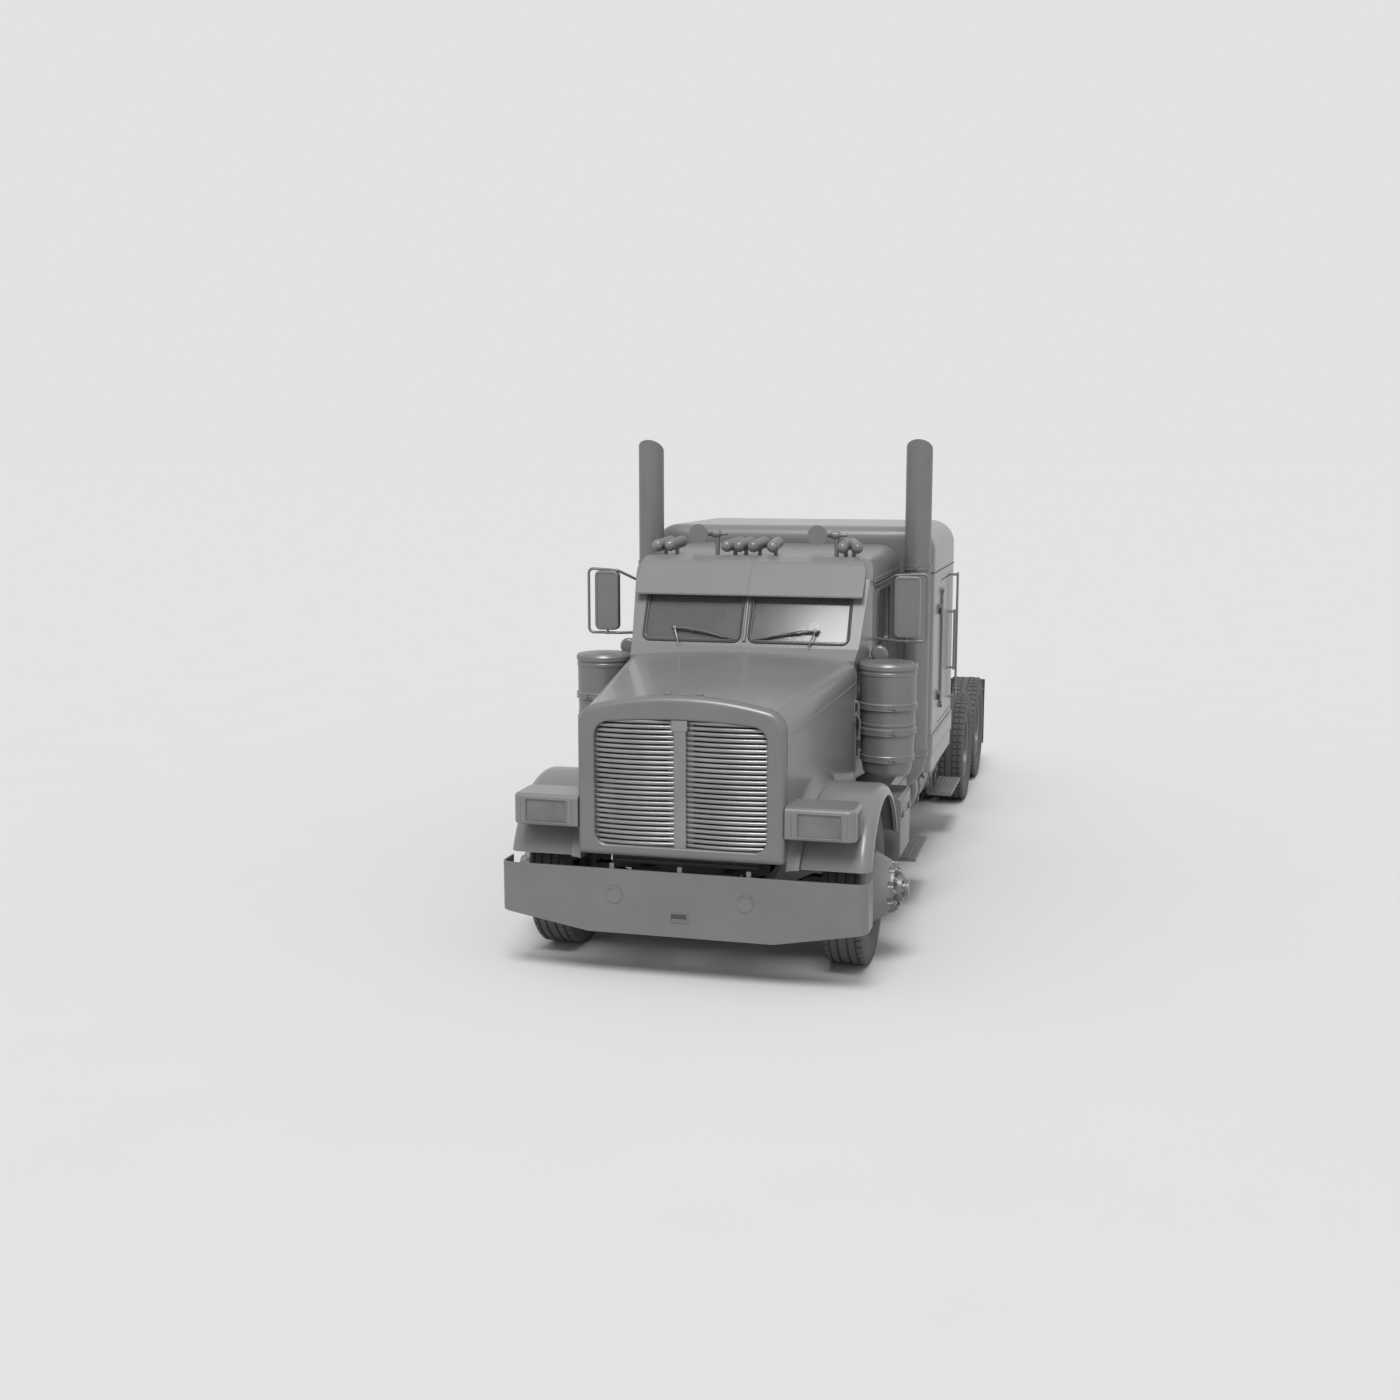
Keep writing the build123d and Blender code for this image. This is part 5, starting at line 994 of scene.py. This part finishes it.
def bumper_dressing():
    """Arched beads over the bumper's round marks, its lower lip, and a dark sheet painted as shade in its
    slot.
    """
    x, z = BUMPER_MARK
    arch = [math.radians(25 + 13 * k) for k in range(11)]
    trim = on_both([tube([(x + 50 * math.cos(a), -820.5, z + 50 * math.sin(a)) for a in arch], 4)])
    trim.append(tube([(-640, -806, 323), (640, -806, 323)], 6))
    piece("bumper_trim", "chassis", BRIGHT, trim)
    # The dark rubber sheet at the slot's back is painted shade, standing in for the opening's depth.
    piece("bumper_slot_shade", "chassis", RUBBER, [brick((-52, -816.5, 448), (52, -813, 479), 1)])


# Cab inside

def pad(low, high, edge, crown, face, lean=0.0):
    """A stuffed block: rounded all over, drawn in along its sides, swollen over one face, its channels sewn
    down along that face, and leaning back in Y up its height. The face is the axis it looks along, 1 for Y or
    2 for Z."""
    low, high = Vector(low), Vector(high)
    long = 3 - face
    form = bmesh.new()
    bmesh.ops.create_cube(form, size=1.0, matrix=Matrix.LocRotScale((low + high) / 2, None, high - low))
    bmesh.ops.subdivide_edges(form, edges=form.edges[:], cuts=30, use_grid_fill=True)
    for vert in form.verts:
        core = Vector([min(max(v, a + edge), b - edge) for v, a, b in zip(vert.co, low, high)])
        away = vert.co - core
        place = core + away.normalized() * edge if away.length else vert.co.copy()
        share = [(v - a) / (b - a) for v, a, b in zip(place, low, high)]
        swell = (1 - (2 * share[0] - 1) ** 2) * (1 - (2 * share[long] - 1) ** 2)
        place[0] += (0.5 - share[0]) * DRAWN_IN[0] * (1 - (2 * share[long] - 1) ** 2)
        place[long] += (0.5 - share[long]) * DRAWN_IN[1] * (1 - (2 * share[0] - 1) ** 2)
        if 0.1 < share[0] < 0.9 and 0.08 < share[long] < 0.92:
            swell -= 0.55 * abs(math.cos(math.pi * SEAT_CHANNELS * share[0])) ** 8
        outwards = share[2] if face == 2 else 1 - share[1]
        place[face] += (1 if face == 2 else -1) * crown * (swell - 0.55) * outwards
        place.y += lean * (place.z - low.z) / (high.z - low.z)
        vert.co = at(*place)
    return finished(form)


def cab_inside():
    """Seats on their bases, dials, gear lever and pedals."""
    stuffed, bases = [], []
    for x in SEATS:
        stuffed.append(pad((x - 246, 1694, 1484), (x + 246, 2206, 1612), 48, 18, 2))
        stuffed.append(pad((x - 246, 2138, 1524), (x + 246, 2246, 2326), 44, 18, 1, lean=100.0))
        seam = [(x - 222, 1718, 1604), (x + 222, 1718, 1604), (x + 222, 2120, 1604), (x - 222, 2120, 1604)]
        stuffed.append(tube(rounded(seam, 40), 5, closed=True))
        bases.append(brick((x - 150, 1810, 1155), (x + 150, 2110, 1492), 10))
        bases.append(brick((x - 175, 1780, 1462), (x + 175, 2140, 1486), 6))
    cushions = piece("seat_cushions", "chassis", VINYL, stuffed)
    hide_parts("seats")
    piece("seat_bases", "chassis", PLASTIC, bases)
    large = [(0, 48), (8, 50), (8, 44), (3, 42), (3, 0)]
    small = [(0, 24), (7, 26), (7, 22), (3, 20), (3, 0)]
    knob = [(-30, 0), (-28, 14), (-14, 25), (6, 27), (18, 20), (24, 0)]
    fittings = [lathe(large, seat_on(x, 1272, 1850, DIAL_FACING), 32) for x in (300, 420, 540)]
    fittings += [lathe(small, seat_on(x, 1272, 1850, DIAL_FACING), 24) for x in (180, 240, 600, 660)]
    fittings.append(tube([(120, 1480, 1150), (150, 1500, 1420), (160, 1510, 1560)], 9))
    fittings.append(lathe(knob, seat_on(160, 1510, 1575), 24))
    fittings += [brick((x - 34, 1330, 1175), (x + 34, 1352, 1285), 6) for x in (330, 430, 530)]
    piece("dash_fittings", "chassis", PLASTIC, fittings)


for side_name, side_sign in SIDES.items():
    wheel_dressing(side_name, side_sign)
    door_dressing(side_name, side_sign)
hood_dressing()
lamp_dressing()
radiator_fins()
screen_dressing()
spot_glass()
roof_dressing()
sleeper_dressing()
stack_dressing()
cleaner_dressing()
tank_dressing()
box_dressing()
frame_dressing()
coupling_dressing()
bumper_dressing()
cab_inside()


def studio():
    """A pale floor under a soft sky that is brightest high ahead of the truck, with a broad lamp there and a
    small weak one for the glints."""
    scene = bpy.context.scene
    scene.view_settings.view_transform = "Standard"
    world = bpy.data.worlds.new("studio_sky")
    scene.world = world
    world.use_nodes = True
    tree = world.node_tree
    tree.nodes.clear()
    way = add(tree, "ShaderNodeTexCoord").outputs["Generated"]
    facing = add(tree, "ShaderNodeVectorMath", {0: way, 1: KEY_WAY}, operation="DOT_PRODUCT")
    level = add(tree, "ShaderNodeMapRange", {
        "Value": facing.outputs["Value"], "From Min": -0.35, "From Max": 1.0,
        "To Min": SKY_LEVELS[0], "To Max": SKY_LEVELS[1],
    })
    glow = add(tree, "ShaderNodeBackground", {"Color": linear(SKY_WHITE),
                                              "Strength": level.outputs["Result"]})
    plain = add(tree, "ShaderNodeBackground", {"Color": linear(BACKDROP_PALE), "Strength": 1.0})
    path = add(tree, "ShaderNodeLightPath").outputs
    mirrored = add(tree, "ShaderNodeMath", {0: path["Is Glossy Ray"], 1: path["Is Transmission Ray"]},
                   operation="MAXIMUM")
    seen = add(tree, "ShaderNodeMath", {0: path["Is Camera Ray"], 1: mirrored.outputs["Value"]},
               operation="MAXIMUM")
    either = add(tree, "ShaderNodeMixShader", {0: seen.outputs["Value"], 1: glow.outputs["Background"],
                                               2: plain.outputs["Background"]})
    output = tree.nodes.new("ShaderNodeOutputWorld")
    tree.links.new(either.outputs["Shader"], output.inputs["Surface"])
    bpy.ops.mesh.primitive_plane_add(size=FLOOR_SIZE)
    floor = bpy.context.object
    floor.name = "floor"
    material, floor_tree, shader, where = new_material("pale_floor")
    speck = add(floor_tree, "ShaderNodeTexNoise", {"Vector": where, "Scale": per_metre(900), "Detail": 3.0})
    colour = add(floor_tree, "ShaderNodeMix", {0: speck.outputs["Fac"], 6: linear(FLOOR_SHADE),
                                               7: linear(FLOOR_PALE)}, data_type="RGBA")
    floor_tree.links.new(colour.outputs[2], shader.inputs["Base Color"])
    shader.inputs["Roughness"].default_value = 0.9
    shader.inputs["Specular IOR Level"].default_value = 0.1
    floor.data.materials.append(material)
    for name, (lamp_way, power, spread) in LAMPS.items():
        light = bpy.data.lights.new(name, "SUN")
        light.energy = power
        light.angle = math.radians(spread)
        lamp = bpy.data.objects.new(name, light)
        lamp.rotation_euler = (-Vector(lamp_way)).to_track_quat("-Z", "Y").to_euler()
        scene.collection.objects.link(lamp)
    view = bpy.data.cameras.new("photo_view")
    view.sensor_width = CAMERA_SENSOR
    view.lens = CAMERA_LENS
    camera = bpy.data.objects.new("photo_view", view)
    camera.location = CAMERA_PLACE
    camera.rotation_euler = (math.radians(90 - CAMERA_DROP), 0, math.radians(CAMERA_AZIMUTH))
    scene.collection.objects.link(camera)
    scene.camera = camera


studio()
